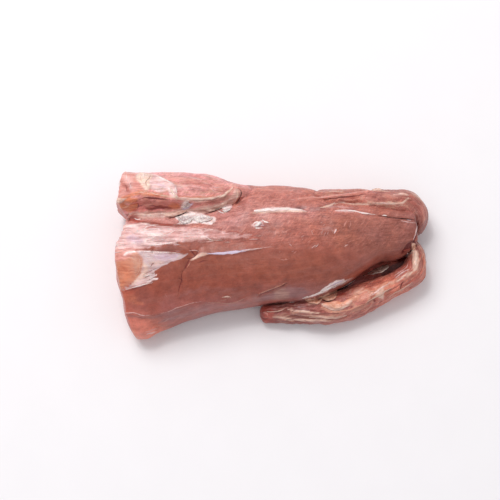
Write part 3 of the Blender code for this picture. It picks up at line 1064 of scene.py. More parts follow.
@dataclass(frozen=True)
class Wisps:
    """Short fine lines scattered about a place, which all lie much the same way."""

    tissues: tuple[Tissue, ...]
    place: Pair
    reach: Pair
    turn: float
    length: float
    count: int
    width: float = 0.35
    strength: float = 0.7
    muscle: Part = Part.ANY
    seed: int = 1

    # How far the lines turn from one another, in degrees, and the sum of a dark colour's parts
    SPREAD = 9.0
    DARK = 340
    HEIGHT = 0.05
    RAGGED = 0.5

    def hairs(self) -> Iterator[Hair]:
        """The lines, bent a little and from 0.5 to 1.5 times the length, dark ones sunk."""
        draw = np.random.default_rng(self.seed)
        turn = math.radians(self.turn)
        along = np.array([math.cos(turn), math.sin(turn)])
        across = np.array([-along[1], along[0]])
        for number in range(self.count):
            u, v = draw.uniform(-1.0, 1.0, 2) * self.reach
            middle = self.place + along * u + across * v
            angle = turn + math.radians(self.SPREAD) * draw.normal()
            way = np.array([math.cos(angle), math.sin(angle)])
            half = 0.5 * self.length * draw.uniform(0.5, 1.5)
            bow = 0.1 * half * draw.normal() * np.array([-way[1], way[0]])
            corners = (middle - way * half, middle + bow, middle + way * half)
            tissue = self.tissues[number % len(self.tissues)]
            yield Hair(
                tissue,
                tuple(tuple(corner) for corner in corners),
                self.width * draw.uniform(0.6, 1.4),
                self.strength * draw.uniform(0.5, 1.0),
                -self.HEIGHT if sum(tissue.value.screen) < self.DARK else self.HEIGHT,
                self.RAGGED,
                muscle=self.muscle,
            )


@dataclass(frozen=True)
class Patch(Mark):
    """A mark over the inside of an outline, which fades over the width at its border."""

    def share(self, places: Array) -> Array:
        """A smooth rise with the depth inside the outline."""
        return smooth_step(-self.width, self.width, depth_inside(places, self.places))


# The flap that is folded over the head
FLAP_MARKS = (
    Patch(PINK, (
        (-92, 52), (-74.5, 42.5), (-74, 38), (-69.5, 31.5), (-68, 28.8), (-74.5, 29), (-80.5, 26.8),
        (-92, 30),
    ), 1.2, 0.6, 0.2, 0.9),
    Stroke(ROSE, ((-81, 41), (-78, 36.5), (-76.5, 31.5)), 1.6, 0.5),
    Stroke(RED, ((-81.5, 36), (-79, 32.5), (-77, 30)), 1.2, 0.4, -0.3),
    Hair(WHITE, ((-84.2, 39), (-82.8, 36), (-83, 33)), 0.6, 0.9, 0.2, 0.6),
    Hair(WHITE, ((-80.5, 41.6), (-79, 39), (-79.4, 37)), 0.6, 0.8, 0.2, 0.8),
    Hair(WHITE, ((-77.6, 35.4), (-76.4, 33), (-76.8, 31)), 0.6, 0.8, 0.2, 0.8),
    Hair(MAROON, ((-80.4, 35), (-79, 32), (-78.4, 29.6)), 0.5, 0.6, -0.2, 0.8),
    # The paler streak along the flap's top is partly a painted wet sheen
    Stroke(PINK, ((-58, 38), (-46, 36.5), (-36, 35.5), (-28, 35)), 2.8, 0.4, 0.2, 1.4),
    Stroke(ROSE, ((-54, 32), (-46, 33), (-38, 32)), 1.4, 0.4, 0.2, 1.2),
    Stroke(RED, ((-54, 39.5), (-42, 40), (-32, 38)), 1.3, 0.35, -0.2, 1.2),
    Stroke(RED, ((-50, 34.4), (-42, 34.7), (-34, 33.7)), 0.9, 0.3, -0.2, 1.2),
    Stroke(TAN, ((-46, 29.5), (-36, 30.5), (-27, 32.5)), 1.4, 0.35, 0, 1),
    Patch(BLUSH, (
        (-66, 42), (-62, 39.5), (-57.5, 36.8), (-52.5, 33.4), (-51.6, 29), (-51, 26.5), (-53.5, 26.8),
        (-56.5, 30.2), (-58.5, 29.5), (-63, 29.6), (-66, 31.5), (-67, 35), (-65, 39),
    ), 0.6, 0.95, 0.3, 0.7, 0.4),
    Stroke(LILAC, ((-62.5, 34), (-60, 32.4), (-57.6, 32)), 1.6, 0.5, 0, 1),
    Stroke(ROSE, ((-65, 36.6), (-61, 35.6), (-57.5, 34)), 1, 0.5, 0, 1),
    Patch(FAT, (
        (-74.4, 40.5), (-72.5, 42.6), (-69.5, 43), (-66, 42.4), (-65, 39), (-67, 35.4), (-65.6, 32.5),
        (-67.3, 30.3), (-69.6, 31.6), (-71.6, 34), (-73.7, 36.5),
    ), 0.5, 1, 0.5, 0.8, 0.5),
    Hair(TAN, ((-66.2, 41), (-67.2, 37.4), (-68.4, 34.8), (-67.2, 32.4)), 0.8, 0.8, -0.2, 0.5),
    Hair(TAN, ((-71, 41), (-71.4, 38), (-70, 35)), 0.5, 0.5, -0.1, 0.5),
    Hair(WHITE, ((-66, 42), (-62, 39.2), (-58, 36.6), (-52.5, 33.2)), 1.1, 1, 0.35, 0.4),
    Hair(WHITE, ((-70, 42), (-70.6, 39.6), (-69.4, 37)), 0.7, 0.7, 0.2, 0.5),
    Hair(WHITE, ((-64, 31.4), (-61, 31), (-58.4, 33)), 0.5, 0.8, 0.2, 0.5),
    Hair(FAT, ((-55.6, 31.5), (-53.5, 28.6), (-51, 26.4)), 1.2, 1, 0.4),
    Hair(WHITE, ((-52.4, 33), (-52, 30), (-51, 27.4)), 0.6),
    # The recessed side below the fold
    Patch(RED, (
        (-81, 25.5), (-74.5, 25.8), (-68.5, 26.2), (-64, 25.5), (-54, 25), (-51, 23), (-57, 21.4),
        (-68, 20.6), (-75.5, 20), (-80, 21),
    ), 0.9, 0.4, -0.1, 0.7, 0.4),
    Stroke(PINK, ((-65, 24.3), (-61, 24.3), (-55.5, 23.8), (-52.6, 23.6)), 0.9, 0.65, 0.2, 0.6),
    Stroke(PINK, ((-71, 23.6), (-68, 24.2), (-65, 23.4)), 1.2, 0.55, 0.2, 0.7),
    Stroke(MAROON, (
        (-69, 21.8), (-65.5, 21.4), (-61, 22), (-58, 22.4), (-54.5, 22.4),
    ), 0.7, 0.8, -0.3, 0.4),
    Hair(MAROON, (
        (-72, 25.2), (-68.5, 26.3), (-65.5, 26), (-61.5, 25.6), (-56, 25),
    ), 0.9, 0.9, -0.5, 0.4),
    Hair(MAROON, ((-68, 23), (-63.6, 22.8), (-59, 23)), 0.6, 0.7, -0.2, 0.5),
    Patch(ORANGE, (
        (-84, 26), (-77, 26.6), (-72.6, 25.8), (-73.5, 22), (-78, 20.6), (-85, 22.5),
    ), 0.8, 0.85, 0.1, 0.7, 0.3),
    Hair(MAROON, ((-73.4, 25.6), (-72.4, 23.6), (-73.6, 21.4)), 0.6, 0.6, -0.2, 0.6),
    Hair(PEACH, ((-82, 22.6), (-78, 23.4), (-75, 24.6)), 0.8, 0.7, 0.2, 0.5),
    Stroke(ORANGE, ((-56, 23.2), (-53.5, 23.4), (-50.4, 23)), 0.9, 0.8, 0.1),
    Patch(BROWN, (
        (-50, 25), (-43, 24.6), (-35.5, 25.3), (-28.5, 27.6), (-24, 31), (-22.8, 29.6), (-26.5, 26),
        (-34.5, 23.9), (-42, 22.7), (-49.5, 23),
    ), 0.9, 0.38, -0.1, 0.8, 0.4),
    Hair(PINK, ((-46, 24), (-38, 24.4), (-31, 26)), 0.5, 0.5, 0.2, 0.8),
    Hair(MAROON, ((-44, 25.2), (-37, 25.4), (-30, 27), (-25, 30.4)), 0.5, 0.6, -0.4, 0.5),
    Stroke(ORANGE, (
        (-82, 26.6), (-76, 28), (-71, 28.8), (-67, 28.4), (-62, 27.6), (-56, 26.8),
    ), 1.2, 0.85, 0.5),
    Hair(CREAM, ((-76, 28.6), (-68, 29), (-62.5, 27.8), (-56.5, 26.8)), 0.7, 0.7, 0.2, 0.6),
    Hair(FAT, (
        (-60, 27.2), (-51.5, 26.2), (-45, 25.7), (-39, 25.7), (-31.5, 26.7), (-27, 28.7), (-23.5, 31.7),
        (-22, 34),
    ), 0.8, 0.85, 0.35, 0.5),
    Hair(ORANGE, ((-52, 27.4), (-44, 27), (-36, 27.2), (-29, 29.4)), 0.8, 0.6, 0.1, 0.6),
    Patch(CREAM, ((-86, 27.5), (-82, 27), (-78.8, 26), (-82, 24.6), (-86, 24.8)), 0.5, 0.8, 0.3),
)

# The membranes at the flap's foot and the band beside it
BAND_MARKS = (
    Patch(BEIGE, (
        (-78, 20.6), (-72, 20.2), (-64.5, 20.3), (-55.5, 20.6), (-49.5, 22.4), (-42, 22.2), (-34.5, 23.5),
        (-28.5, 24.7), (-24, 27.2), (-21.6, 30), (-21, 33), (-18.2, 33), (-17.2, 31), (-19, 28),
        (-23.5, 24.3), (-29.5, 22.5), (-34.5, 20.4), (-39, 19.7), (-45, 20), (-49.5, 19), (-55, 17.2),
        (-64.5, 16.6), (-72, 17), (-79, 18),
    ), 0.6, 0.85, 0.3, 0.6, 0.3),
    Hair(CREAM, ((-77, 19.6), (-69, 18.8), (-61, 18.4)), 0.8, 0.7, 0.2, 0.6),
    Hair(FAT, ((-63, 19.4), (-55, 19.6), (-49, 21), (-43, 21.4)), 0.8, 0.7, 0.2, 0.6),
    Hair(CREAM, ((-43, 21.4), (-35, 22), (-29, 23.6), (-24, 25.8)), 0.8, 0.7, 0.2, 0.6),
    Hair(BROWN, ((-72, 19), (-64, 18.2), (-57, 18.8)), 0.4, 0.6, -0.1, 0.6),
    Hair(BROWN, ((-38, 20.8), (-32, 21.8), (-26, 24)), 0.4, 0.6, -0.1, 0.6),
    Patch(ROSE, (
        (-92, 17), (-78, 16), (-70, 14.2), (-62, 12.8), (-54, 12), (-48, 11), (-46.5, 6.5), (-48, 3.5),
        (-51.5, 1), (-60, 0), (-68.5, -1.2), (-76.5, -0.8), (-84, -2), (-92, -4),
    ), 1.3, 0.75, 0.1, 1.5, 0.7),
    Patch(ROSE, (
        (-50, 11), (-39.5, 10.5), (-31, 9), (-20.5, 8), (-10.5, 7), (-12.5, 4.5), (-22, 3.8), (-31, 3.3),
        (-39.5, 3.2), (-50, 2.8),
    ), 1.2, 0.42, 0.1, 1.5, 0.6),
    Stroke(RED, ((-79, 17.4), (-76, 16.6), (-73.5, 15)), 0.9, 0.7, -0.2),
    Stroke(BROWN, ((-72, 15.4), (-66, 13.8), (-58, 13), (-52, 13.2), (-45, 12.4)), 1.2, 0.7, -0.3, 0.9),
    Stroke(RED, ((-66, 14), (-60, 13), (-54, 13)), 0.9, 0.4, -0.1, 0.8),
    Stroke(RED, ((-78, 11), (-70, 11.4), (-60, 11.2)), 0.9, 0.4, -0.1, 1),
    Stroke(RED, ((-62, 7.6), (-55, 7.4), (-48, 7.8)), 0.8, 0.4, -0.1, 1),
    Stroke(RED, ((-58, 4.8), (-50, 4.6), (-42, 5.6)), 0.8, 0.4, -0.1, 1),
    Stroke(RED, ((-44, 8.8), (-34, 7.4), (-24, 6.4)), 0.9, 0.45, -0.1, 1),
    Stroke(BLUSH, ((-50, 6), (-43, 6.8), (-35, 6.2)), 2.4, 0.55, 0.1, 1.2),
    Stroke(WHITE, ((-80, 13), (-73, 12), (-67, 12.6)), 1.2, 0.6, 0.1, 1),
    Stroke(WHITE, ((-72, 8), (-64, 6.6), (-56, 8.6)), 1.5, 0.65, 0.1, 1),
    Stroke(WHITE, ((-76, 2), (-68, 3), (-60, 2)), 1.2, 0.5, 0.1, 1),
    Stroke(LILAC, ((-78, 5), (-74, 4), (-69.6, 2.6)), 2, 0.6, 0, 0.9),
    Hair(WHITE, ((-76, 7), (-71, 9.4), (-66, 12), (-61, 13.2)), 0.6, 0.8, 0.2, 0.8),
    Hair(WHITE, ((-64, 5), (-57, 6), (-52, 8.6), (-46, 10.4)), 0.6, 0.8, 0.2, 0.8),
    Hair(WHITE, ((-80, 9.6), (-72, 8.6), (-64, 9.4), (-57, 10.2)), 0.5, 0.8, 0.2, 0.8),
    Hair(WHITE, ((-70, 13), (-62, 11.6), (-54, 11.4)), 0.5, 0.7, 0.2, 0.8),
    Hair(ROSE, ((-50, 7.6), (-42, 7.4), (-34, 8.2)), 0.5, 0.6, 0.1, 0.6),
    Hair(WHITE, ((-49, 4.5), (-44.5, 5.6), (-39.5, 6)), 0.5, 0.8, 0.2, 0.6),
    Hair(FAT, ((-52, 3.2), (-45, 3.6), (-38, 4.2), (-31, 3.4), (-24, 4)), 0.5, 0.75, 0.2, 0.6),
    Hair(WHITE, ((-76, 4.6), (-68.5, 5), (-60, 4), (-51, 3.4)), 0.5, 0.8, 0.2, 0.8),
    Hair(WHITE, ((-72, 1), (-63.5, 0.6), (-55.5, 1.6), (-48, 2.2)), 0.6, 0.9, 0.3, 0.5),
    Hair(MAUVE, ((-67.5, 3.2), (-58, 2.6), (-52, 2.8)), 0.4, 0.6, -0.2, 0.5),
    Patch(RED, (
        (-81, 20), (-77, 19.8), (-73.5, 18.6), (-72.5, 16.5), (-70, 15.6), (-71.5, 13.4), (-75.5, 13.2),
        (-79.5, 15),
    ), 0.9, 0.65, -0.1, 1.2, 0.4),
    Hair(MAROON, ((-79.4, 17.4), (-76.4, 17.8), (-73, 16.4)), 0.9, 0.7, -0.2, 0.9),
    Hair(WHITE, ((-75.4, 17.6), (-73.4, 16.2), (-71, 16.8)), 0.6, 0.9, 0.2, 0.5),
    Hair(PINK, ((-80, 14.4), (-77, 15.2), (-74.4, 14.4)), 0.6, 0.8, 0.1, 0.6),
    Patch(BROWN, (
        (-60, -1), (-55.5, -0.2), (-51, -0.2), (-46.5, -1.5), (-51, -2.7), (-55.5, -3), (-62.5, -2.8),
        (-64.5, -2),
    ), 0.5, 0.8, -0.1),
    Hair(MAUVE, ((-65, -1), (-64, -2), (-64.5, -4)), 0.5, 0.8, -0.2, 0.2),
    # The crinkled patch and its white pleats, with painted shade in the slits beside them
    Patch(WHITE, (
        (-52.8, 18.6), (-49, 19), (-45, 20), (-39, 19.4), (-34.5, 18.6), (-31, 17), (-30.4, 13.6),
        (-33, 12), (-39, 13.4), (-45, 13.4), (-50, 13.8), (-52.4, 16),
    ), 0.6, 0.85, 0.2, 0.9, 0.7),
    Stroke(SILVER, ((-50, 16.6), (-45, 15.4), (-40, 16)), 0.9, 0.7, -0.3, 0.8),
    Hair(SLIT_SHADE, ((-56, 16.8), (-52, 18), (-47.5, 19.8), (-44.4, 20)), 0.6, 1, -0.9, 0.2),
    Hair(SLIT_SHADE, ((-49.5, 17.3), (-45.4, 17.4), (-41.6, 16.4)), 0.5, 0.9, -0.6, 0.2),
    Hair(SLIT_SHADE, ((-36.5, 19.3), (-33, 20.5), (-30, 22), (-28, 22.8)), 0.6, 1, -0.9, 0.2),
    Hair(MAUVE, ((-51, 15.2), (-48, 16), (-45, 15)), 0.5, 0.9, -0.3, 0.4),
    Hair(MAUVE, ((-40.6, 14.8), (-38, 16.8), (-35, 16.6)), 0.5, 0.9, -0.3, 0.4),
    Hair(WHITE, ((-52.4, 18.2), (-50.5, 16), (-49.5, 14), (-46, 14)), 0.8, 1, 0.4),
    Hair(WHITE, ((-46.5, 18.8), (-43, 18.2), (-39, 19)), 0.7, 1, 0.4),
    Hair(WHITE, ((-48, 14.7), (-44, 15.6), (-40.5, 15.8), (-37.5, 17.6)), 0.7, 1, 0.4),
    Hair(FAT, ((-37, 14.4), (-34, 14.8), (-31, 12.8)), 0.9, 0.9, 0.3, 0.6),
    Hair(WHITE, ((-49.8, 22.6), (-47.4, 24.2), (-45.4, 25.2)), 0.8, 1, 0.4, 0.2),
    Hair(STEEL, ((-49, 22), (-45.4, 23.2), (-43.2, 24.2)), 0.6, 1, 0.4, 0.2),
    Hair(WHITE, ((-30.2, 21.4), (-27, 19.8), (-24, 20)), 0.6, 0.9, 0.3),
    Patch(ROSE, (
        (-28, 22.6), (-25.5, 24.2), (-22.5, 25), (-22, 23), (-24.5, 21),
    ), 0.5, 0.9, 0.3, 0.6, 0.4),
    Hair(WHITE, ((-27.6, 22.8), (-25, 23.4), (-22.4, 23.4)), 0.6, 0.9, 0.3, 0.4),
    Hair(CREAM, (
        (-22, 34.4), (-19.6, 31.6), (-19.2, 28.6), (-21, 26), (-23.4, 24.4),
    ), 0.8, 0.8, 0.3, 0.4),
    # Painted shade along the foot of the flap's end
    Hair(SLIT_SHADE, ((-19.2, 34.4), (-17, 31.5), (-17.8, 28), (-20, 25.2)), 0.6, 0.8, -0.6),
)

# The silver skin, the amber patch and the torn nick beside them
NECK_MARKS = (
    Patch(SILVER, (
        (-73.5, -2.2), (-67, -2.4), (-57.5, -3.2), (-50.5, -3.9), (-45, -4.2), (-47.5, -5.6), (-50, -7),
        (-53.5, -8.2), (-56.5, -9.4), (-60.5, -11), (-63, -13.5), (-63.4, -16.3), (-65.5, -18.4),
        (-69.5, -19.8), (-74.5, -21.4), (-80.5, -22.6), (-76.5, -20.5), (-72.5, -17.5), (-70.3, -14),
        (-69.4, -10.5), (-70, -5.5),
    ), 0.5, 1, 0.15, 0.8),
    Stroke(LILAC, ((-64, -5), (-58, -5.6), (-51, -5)), 1.8, 0.7, 0, 1),
    Stroke(CREAM, ((-69, -9), (-67.6, -12.6), (-70.4, -16.6), (-75, -20)), 1.9, 0.75, 0, 0.8),
    Stroke(BLUSH, ((-66.4, -18), (-70, -19), (-74.6, -20.6)), 1.3, 0.9, 0.1, 0.6),
    Stroke(CREAM, ((-66, -9.6), (-62.5, -9), (-58, -8.4)), 1, 0.5, 0, 0.8),
    Hair(WHITE, ((-72, -2.6), (-63.5, -2.8), (-55.5, -3.4), (-46, -4)), 0.5, 0.7, 0.2, 0.4),
    Hair(MAROON, ((-70, -1.6), (-63, -2.2), (-55, -2.6), (-48, -3.2)), 0.4, 0.5, -0.2, 0.4),
    Hair(BROWN, ((-69, -17), (-66.5, -15.8), (-64.5, -14.5), (-61, -13.8)), 0.5, 0.9, -0.1),
    Hair(BROWN, ((-67.5, -18.4), (-65.5, -17.3), (-62, -15.8)), 0.5, 0.9, -0.1),
    Hair(BROWN, ((-66.2, -19.6), (-64.5, -18.5), (-61.6, -17.6)), 0.45, 0.8, -0.1),
    Hair(BROWN, ((-69.5, -15.2), (-66.5, -13.8), (-64, -12.4), (-60, -10.8)), 0.4, 0.8, -0.1),
    Hair(MAUVE, ((-65.5, -11), (-64.5, -9.5), (-63, -8.6)), 0.6, 0.8, -0.1),
    Hair(WHITE, ((-69.4, -16.2), (-65.6, -15.2), (-62.6, -14)), 0.5),
    Hair(WHITE, ((-68.4, -17.6), (-65, -16.4), (-61.4, -15)), 0.5),
    Hair(WHITE, ((-67.6, -19), (-64.6, -17.8), (-61, -16.8)), 0.5),
    Hair(WHITE, (
        (-81.5, -22.6), (-75.5, -21.5), (-71, -20.5), (-66.5, -19.6), (-62.5, -18.4),
    ), 0.6),
    # A painted shadow line under the silver skin's lower edge
    Hair(MAROON, ((-80, -23.4), (-74, -22.2), (-67, -20.4)), 0.5, 0.7, -0.2, 0.4),
    # The orange of the head's left shoulder, partly painted light shining through the meat
    Patch(AMBER, (
        (-92, -8.5), (-83.5, -7.5), (-80, -7), (-77, -5.5), (-73.5, -2.6), (-71.4, -3.6), (-69.8, -6),
        (-69.3, -9), (-70.3, -13.5), (-73.3, -17), (-77.5, -20.2), (-82, -22.3), (-92, -20),
    ), 0.8, 0.95, 0.1),
    Stroke(ORANGE, ((-86, -14), (-80, -11.5), (-78, -15), (-81, -19.5)), 3, 0.7, 0, 1.2),
    Stroke(TAN, ((-75, -6.5), (-72.4, -9.5), (-73.4, -14)), 1.7, 0.6, 0, 1),
    Hair(CREAM, ((-72.6, -4.4), (-71, -8), (-71.6, -13), (-74.6, -17.4)), 0.5, 0.5, 0.1, 0.5),
    Patch(PINK, (
        (-92, 0), (-84, -0.5), (-79, -1), (-74.5, -1.5), (-74, -2.5), (-77, -5.5), (-80, -7), (-92, -8),
    ), 0.8, 0.8, 0.1, 0.8),
    Hair(WHITE, ((-80, -4.6), (-77, -3), (-73.4, -2.4)), 0.7, 0.8, 0.2, 0.5),
    Hair(WHITE, ((-84, -3), (-81, -2.6), (-78.6, -1.6)), 0.5, 0.7, 0.2, 0.5),
    # The nick
    Hair(MAROON, ((-44.2, -1.6), (-43.4, -3), (-42, -4.7), (-42, -5.6)), 0.7, 1, -0.5, 0.2),
    Hair(MAROON, (
        (-39.4, -1.6), (-40.2, -2.8), (-41.2, -4.6), (-43, -6), (-46, -6.6),
    ), 0.7, 1, -0.5, 0.2),
    Hair(ROSE, ((-45.6, -2.6), (-43, -2.4), (-41, -2.4), (-39, -3.2)), 0.5, 0.8, 0.2, 0.4),
    Hair(MAROON, ((-44.4, -6.4), (-45.2, -8), (-46.2, -10), (-47.2, -12.2)), 0.9, 1, -0.4, 0.2),
    Hair(MAROON, (
        (-47, -11.6), (-48.5, -13.8), (-49, -17.5), (-50, -21), (-51, -24.5),
    ), 0.7, 0.9, -0.3, 0.4),
    Hair(MAROON, ((-50.6, -16.6), (-49, -17.4), (-48.4, -19)), 0.7, 0.7, -0.2, 0.4),
    Hair(PEACH, ((-43.8, -7.5), (-44.6, -9.2), (-46, -11.4)), 0.5, 0.8),
    Hair(CREAM, ((-44, -7.5), (-41.2, -5.9), (-38.5, -4.6), (-34.5, -3.9)), 0.9, 1, 0.3, 0.2),
    Hair(FAT, ((-42.6, -6.6), (-40, -5.2), (-37.6, -4.4)), 0.5, 0.9, 0.2, 0.2),
    Hair(MAROON, ((-40, -8.9), (-38, -8), (-35.6, -7.6)), 0.6, 0.8, -0.2),
    Stroke(LILAC, ((-35.5, -3.9), (-26, -3.7), (-17.5, -2.7), (-12, -1.6)), 0.7, 0.6, 0.3, 0.2),
    Hair(STEEL, (
        (-35.5, -3.9), (-31, -4), (-25.5, -3.6), (-17.5, -2.7), (-10.5, -1.3),
    ), 1.3, 1, 0.1, 0.2),
    Hair(ROSE, ((-18, -2.9), (-11, -1.6), (-5, -0.8)), 0.8, 0.8, 0.1, 0.2),
    Hair(ROSE, ((-12, -1.8), (-4, -0.6), (2, 0.4)), 0.5, 0.6, 0.1, 0.4),
)

# The far side of the back, with the outer lobe
BACK_MARKS = (
    Stroke(CREAM, ((-11, 18.8), (-1, 19.6), (8.5, 20.2), (18, 19.8)), 0.8, 0.8, 0.1, 0.2),
    Stroke(WHITE, ((-10, 20), (-1, 20.9), (8.5, 21.4), (15.5, 20.9)), 1, 0.95, 0.3, 0.2),
    Hair(WHITE, ((-11, 19.4), (-1, 20.4), (8.5, 21.2), (19, 20.2)), 1.2, 1, 0.1, 0.2),
    # A groove, darkened with painted shade
    Stroke(MAUVE, ((12, 22.6), (15, 22.6), (18, 22.2)), 0.9, 0.6, -0.4, 0.3),
    Hair(SLIT_SHADE, ((12.6, 22.4), (15, 22.2), (17.5, 21.4)), 0.5, 0.7, -0.4),
    Patch(MAUVE, (
        (17, 20.6), (20, 22.5), (26, 23), (32, 22.4), (28, 20.4), (22, 19.6),
    ), 1.2, 0.4, -0.3, 0.9),
    Stroke(PINK, ((-22, 32), (-8, 34), (6, 33), (18, 31)), 2.6, 0.35, 0.2, 1.4),
    Stroke(RED, ((-16, 29.5), (0, 30), (14, 28)), 1.6, 0.22, -0.1, 1.6),
    Stroke(BROWN, ((2, 26), (12, 25.5), (24, 25)), 2.2, 0.3, -0.3, 1.4),
    Hair(CREAM, ((24.6, 22), (28.4, 22.8), (31.5, 23.9), (34.5, 26.4)), 1.1, 0.8, 0.3),
    Hair(MAUVE, ((22, 20.8), (26, 23.2), (31, 25)), 0.5, 0.7, -0.2, 0.4),
    Stroke(PINK, ((14, 28), (23, 28.6), (32, 29.2), (42.5, 30.8), (54, 33.4)), 0.9, 0.55, 0.5, 0.4),
    Hair(PINK, ((16, 28.2), (30, 29.2), (42, 31), (54, 33.6)), 0.8, 0.8, 0.2, 0.4),
    Hair(MAROON, ((28, 27.6), (36, 28.8), (44, 29.8), (51, 31.6)), 0.8, 0.9, -0.7),
    Hair(CREAM, (
        (31, 24), (36, 26), (42.5, 25.6), (49.5, 25.5), (59.5, 26), (66, 26), (71, 26.8), (73.4, 29),
        (75.4, 31),
    ), 0.8, 0.75, 0.2, 0.5),
    Hair(BLUSH, ((53, 25.9), (59, 26.2), (65, 26.1), (70, 26.8)), 0.5, 0.9, 0.2, 0.4),
    Hair(CREAM, ((68, 26.4), (71.6, 27.6), (73.4, 29.4)), 0.9, 0.8, 0.3),
    Patch(PINK, (
        (47, 32.5), (51, 34.5), (57, 33), (57, 27.6), (53, 26.5), (48.5, 28),
    ), 1.4, 0.3, 0.2, 1.6, 0.9),
    Stroke(CREAM, ((54, 34.6), (57.6, 36), (61, 36.6)), 1.2, 0.8, 0.4),
    Stroke(FAT, ((66, 31.4), (70, 32.4), (75, 32)), 1, 0.55, 0.3, 0.8),
    Stroke(ROSE, ((30, 22.8), (37, 23.4), (44, 22.8)), 1.1, 0.4, 0.1, 0.9),
    Hair(MAUVE, ((28, 24), (33, 25.4), (39, 26.6)), 0.5, 0.6, -0.2, 0.5),
    Stroke(BLUSH, ((33.6, 20.6), (37.6, 20.9), (42, 20.9), (45, 20.6)), 0.8, 0.8, 0.2, 0.3),
    Hair(WHITE, (
        (34, 20.8), (40, 21.1), (44, 21), (48, 20.1), (52.5, 19.2), (57, 18.8),
    ), 0.9, 0.9, 0.3),
    # The crack along the lobe's seam: a groove darkened with painted shade, with two painted glints
    Stroke(MAROON, ((56, 18.6), (63, 17.9), (70, 17.4), (78.5, 16.6)), 0.5, 0.4, -0.6, 0.2),
    Hair(SLIT_SHADE, (
        (55, 19), (59, 18.6), (63, 17.9), (67, 17.5), (72, 17.4), (79, 16.8),
    ), 0.55, 0.95, -0.2, 0.2),
    Hair(WHITE, ((58.8, 18.6), (60.4, 18.8), (62, 18.5)), 0.6, 1, 0.2, 0.1),
    Hair(ROSE, ((68, 15.8), (73, 15.4), (78, 15)), 0.5, 0.7),
    Hair(WHITE, ((72.6, 16.4), (74, 16.6), (75.4, 16.2)), 0.6, 1, 0.2, 0.1),
    # The rim of the lobe's end, with painted shade on the wall beside it
    Hair(ROSE, ((78.6, 15.6), (78.2, 12.6), (77.2, 8.6), (75.6, 5)), 1, 0.95, 0.3),
    Stroke(MAROON, ((79.8, 17), (79.4, 13), (77.8, 8.4), (76.4, 5)), 0.9, 0.8, -0.6, 0.3),
    Hair(SLIT_SHADE, ((80, 16.4), (79.4, 12.6), (78, 8.6)), 0.6, 0.8, -0.2),
    Stroke(PINK, ((58, 30), (64, 31.5), (70, 31)), 2.4, 0.3, 0.2, 1.4),
    Stroke(PINK, ((81, 27), (83.5, 22), (83, 17)), 1.8, 0.4, 0.1, 1),
    Stroke(FAT, ((76, 35), (80, 33), (82.6, 30)), 1, 0.5, 0.2, 0.6),
    # The pale fleck, partly a painted glint, and the fine scratches
    Patch(ROSE, (
        (-11.5, 12), (-8, 14), (-5.5, 14.6), (-5, 11.5), (-7.5, 10), (-10.5, 10.6),
    ), 0.6, 0.7, 0.3, 0.8, 0.5),
    Hair(WHITE, ((-11, 12), (-8.6, 13.6), (-6.6, 12.6)), 0.9, 1, 0.3, 0.4),
    Hair(WHITE, ((-6, 15), (-4.4, 13.6), (-2, 13)), 0.7, 1, 0.3),
    Hair(WHITE, ((-10, 10.2), (-7.4, 10), (-5, 10.6)), 0.7, 0.95, 0.3, 0.4),
    Hair(STEEL, ((-8.4, 11.6), (-6, 11.8), (-4.4, 11.2)), 0.5, 0.9, 0.2, 0.4),
    Hair(BLUSH, ((32.5, 7.5), (33.5, 9), (34, 10.2)), 1.2, 1, 0.3),
    Stroke(ROSE, ((24.6, 9.6), (28, 10.7), (31.8, 9.6)), 1.4, 0.3, 0.1, 1.2),
    Hair(ROSE, ((25.6, 6.6), (26.6, 9.4)), 0.4, 0.6, 0.1),
    Hair(ROSE, ((27.4, 6), (28.2, 8.6)), 0.4, 0.6, 0.1),
    Hair(ROSE, ((29, 6.4), (29.8, 9)), 0.4, 0.6, 0.1),
    Hair(ROSE, ((20.6, 8.8), (21.6, 6.2)), 0.4, 0.6, 0.1),
    Hair(PINK, ((38, 10), (38.4, 12.6), (40, 15)), 0.7, 0.6, 0.1, 0.4),
    Hair(PINK, ((40.6, 10.6), (41.6, 12.8), (41.4, 15)), 0.7, 0.6, 0.1, 0.4),
    Hair(PINK, ((0, 5), (2, 7), (4, 7.6)), 0.45, 0.7, 0.1),
    Hair(PINK, ((4.5, 7), (6.5, 7.8), (8.5, 9.4)), 0.45, 0.7, 0.1),
    Hair(PINK, ((-18, 6), (-16, 9), (-14, 10)), 0.45, 0.6, 0.1),
    Stroke(BROWN, ((40, 8.6), (41, 11.6), (40.6, 13)), 0.9, 0.3, -0.2, 0.4),
    Patch(BROWN, ((41, 12.5), (47, 13), (51, 11), (49, 6.5), (43.5, 5.5), (39.5, 8)), 1.6, 0.35, 0, 1.2),
)

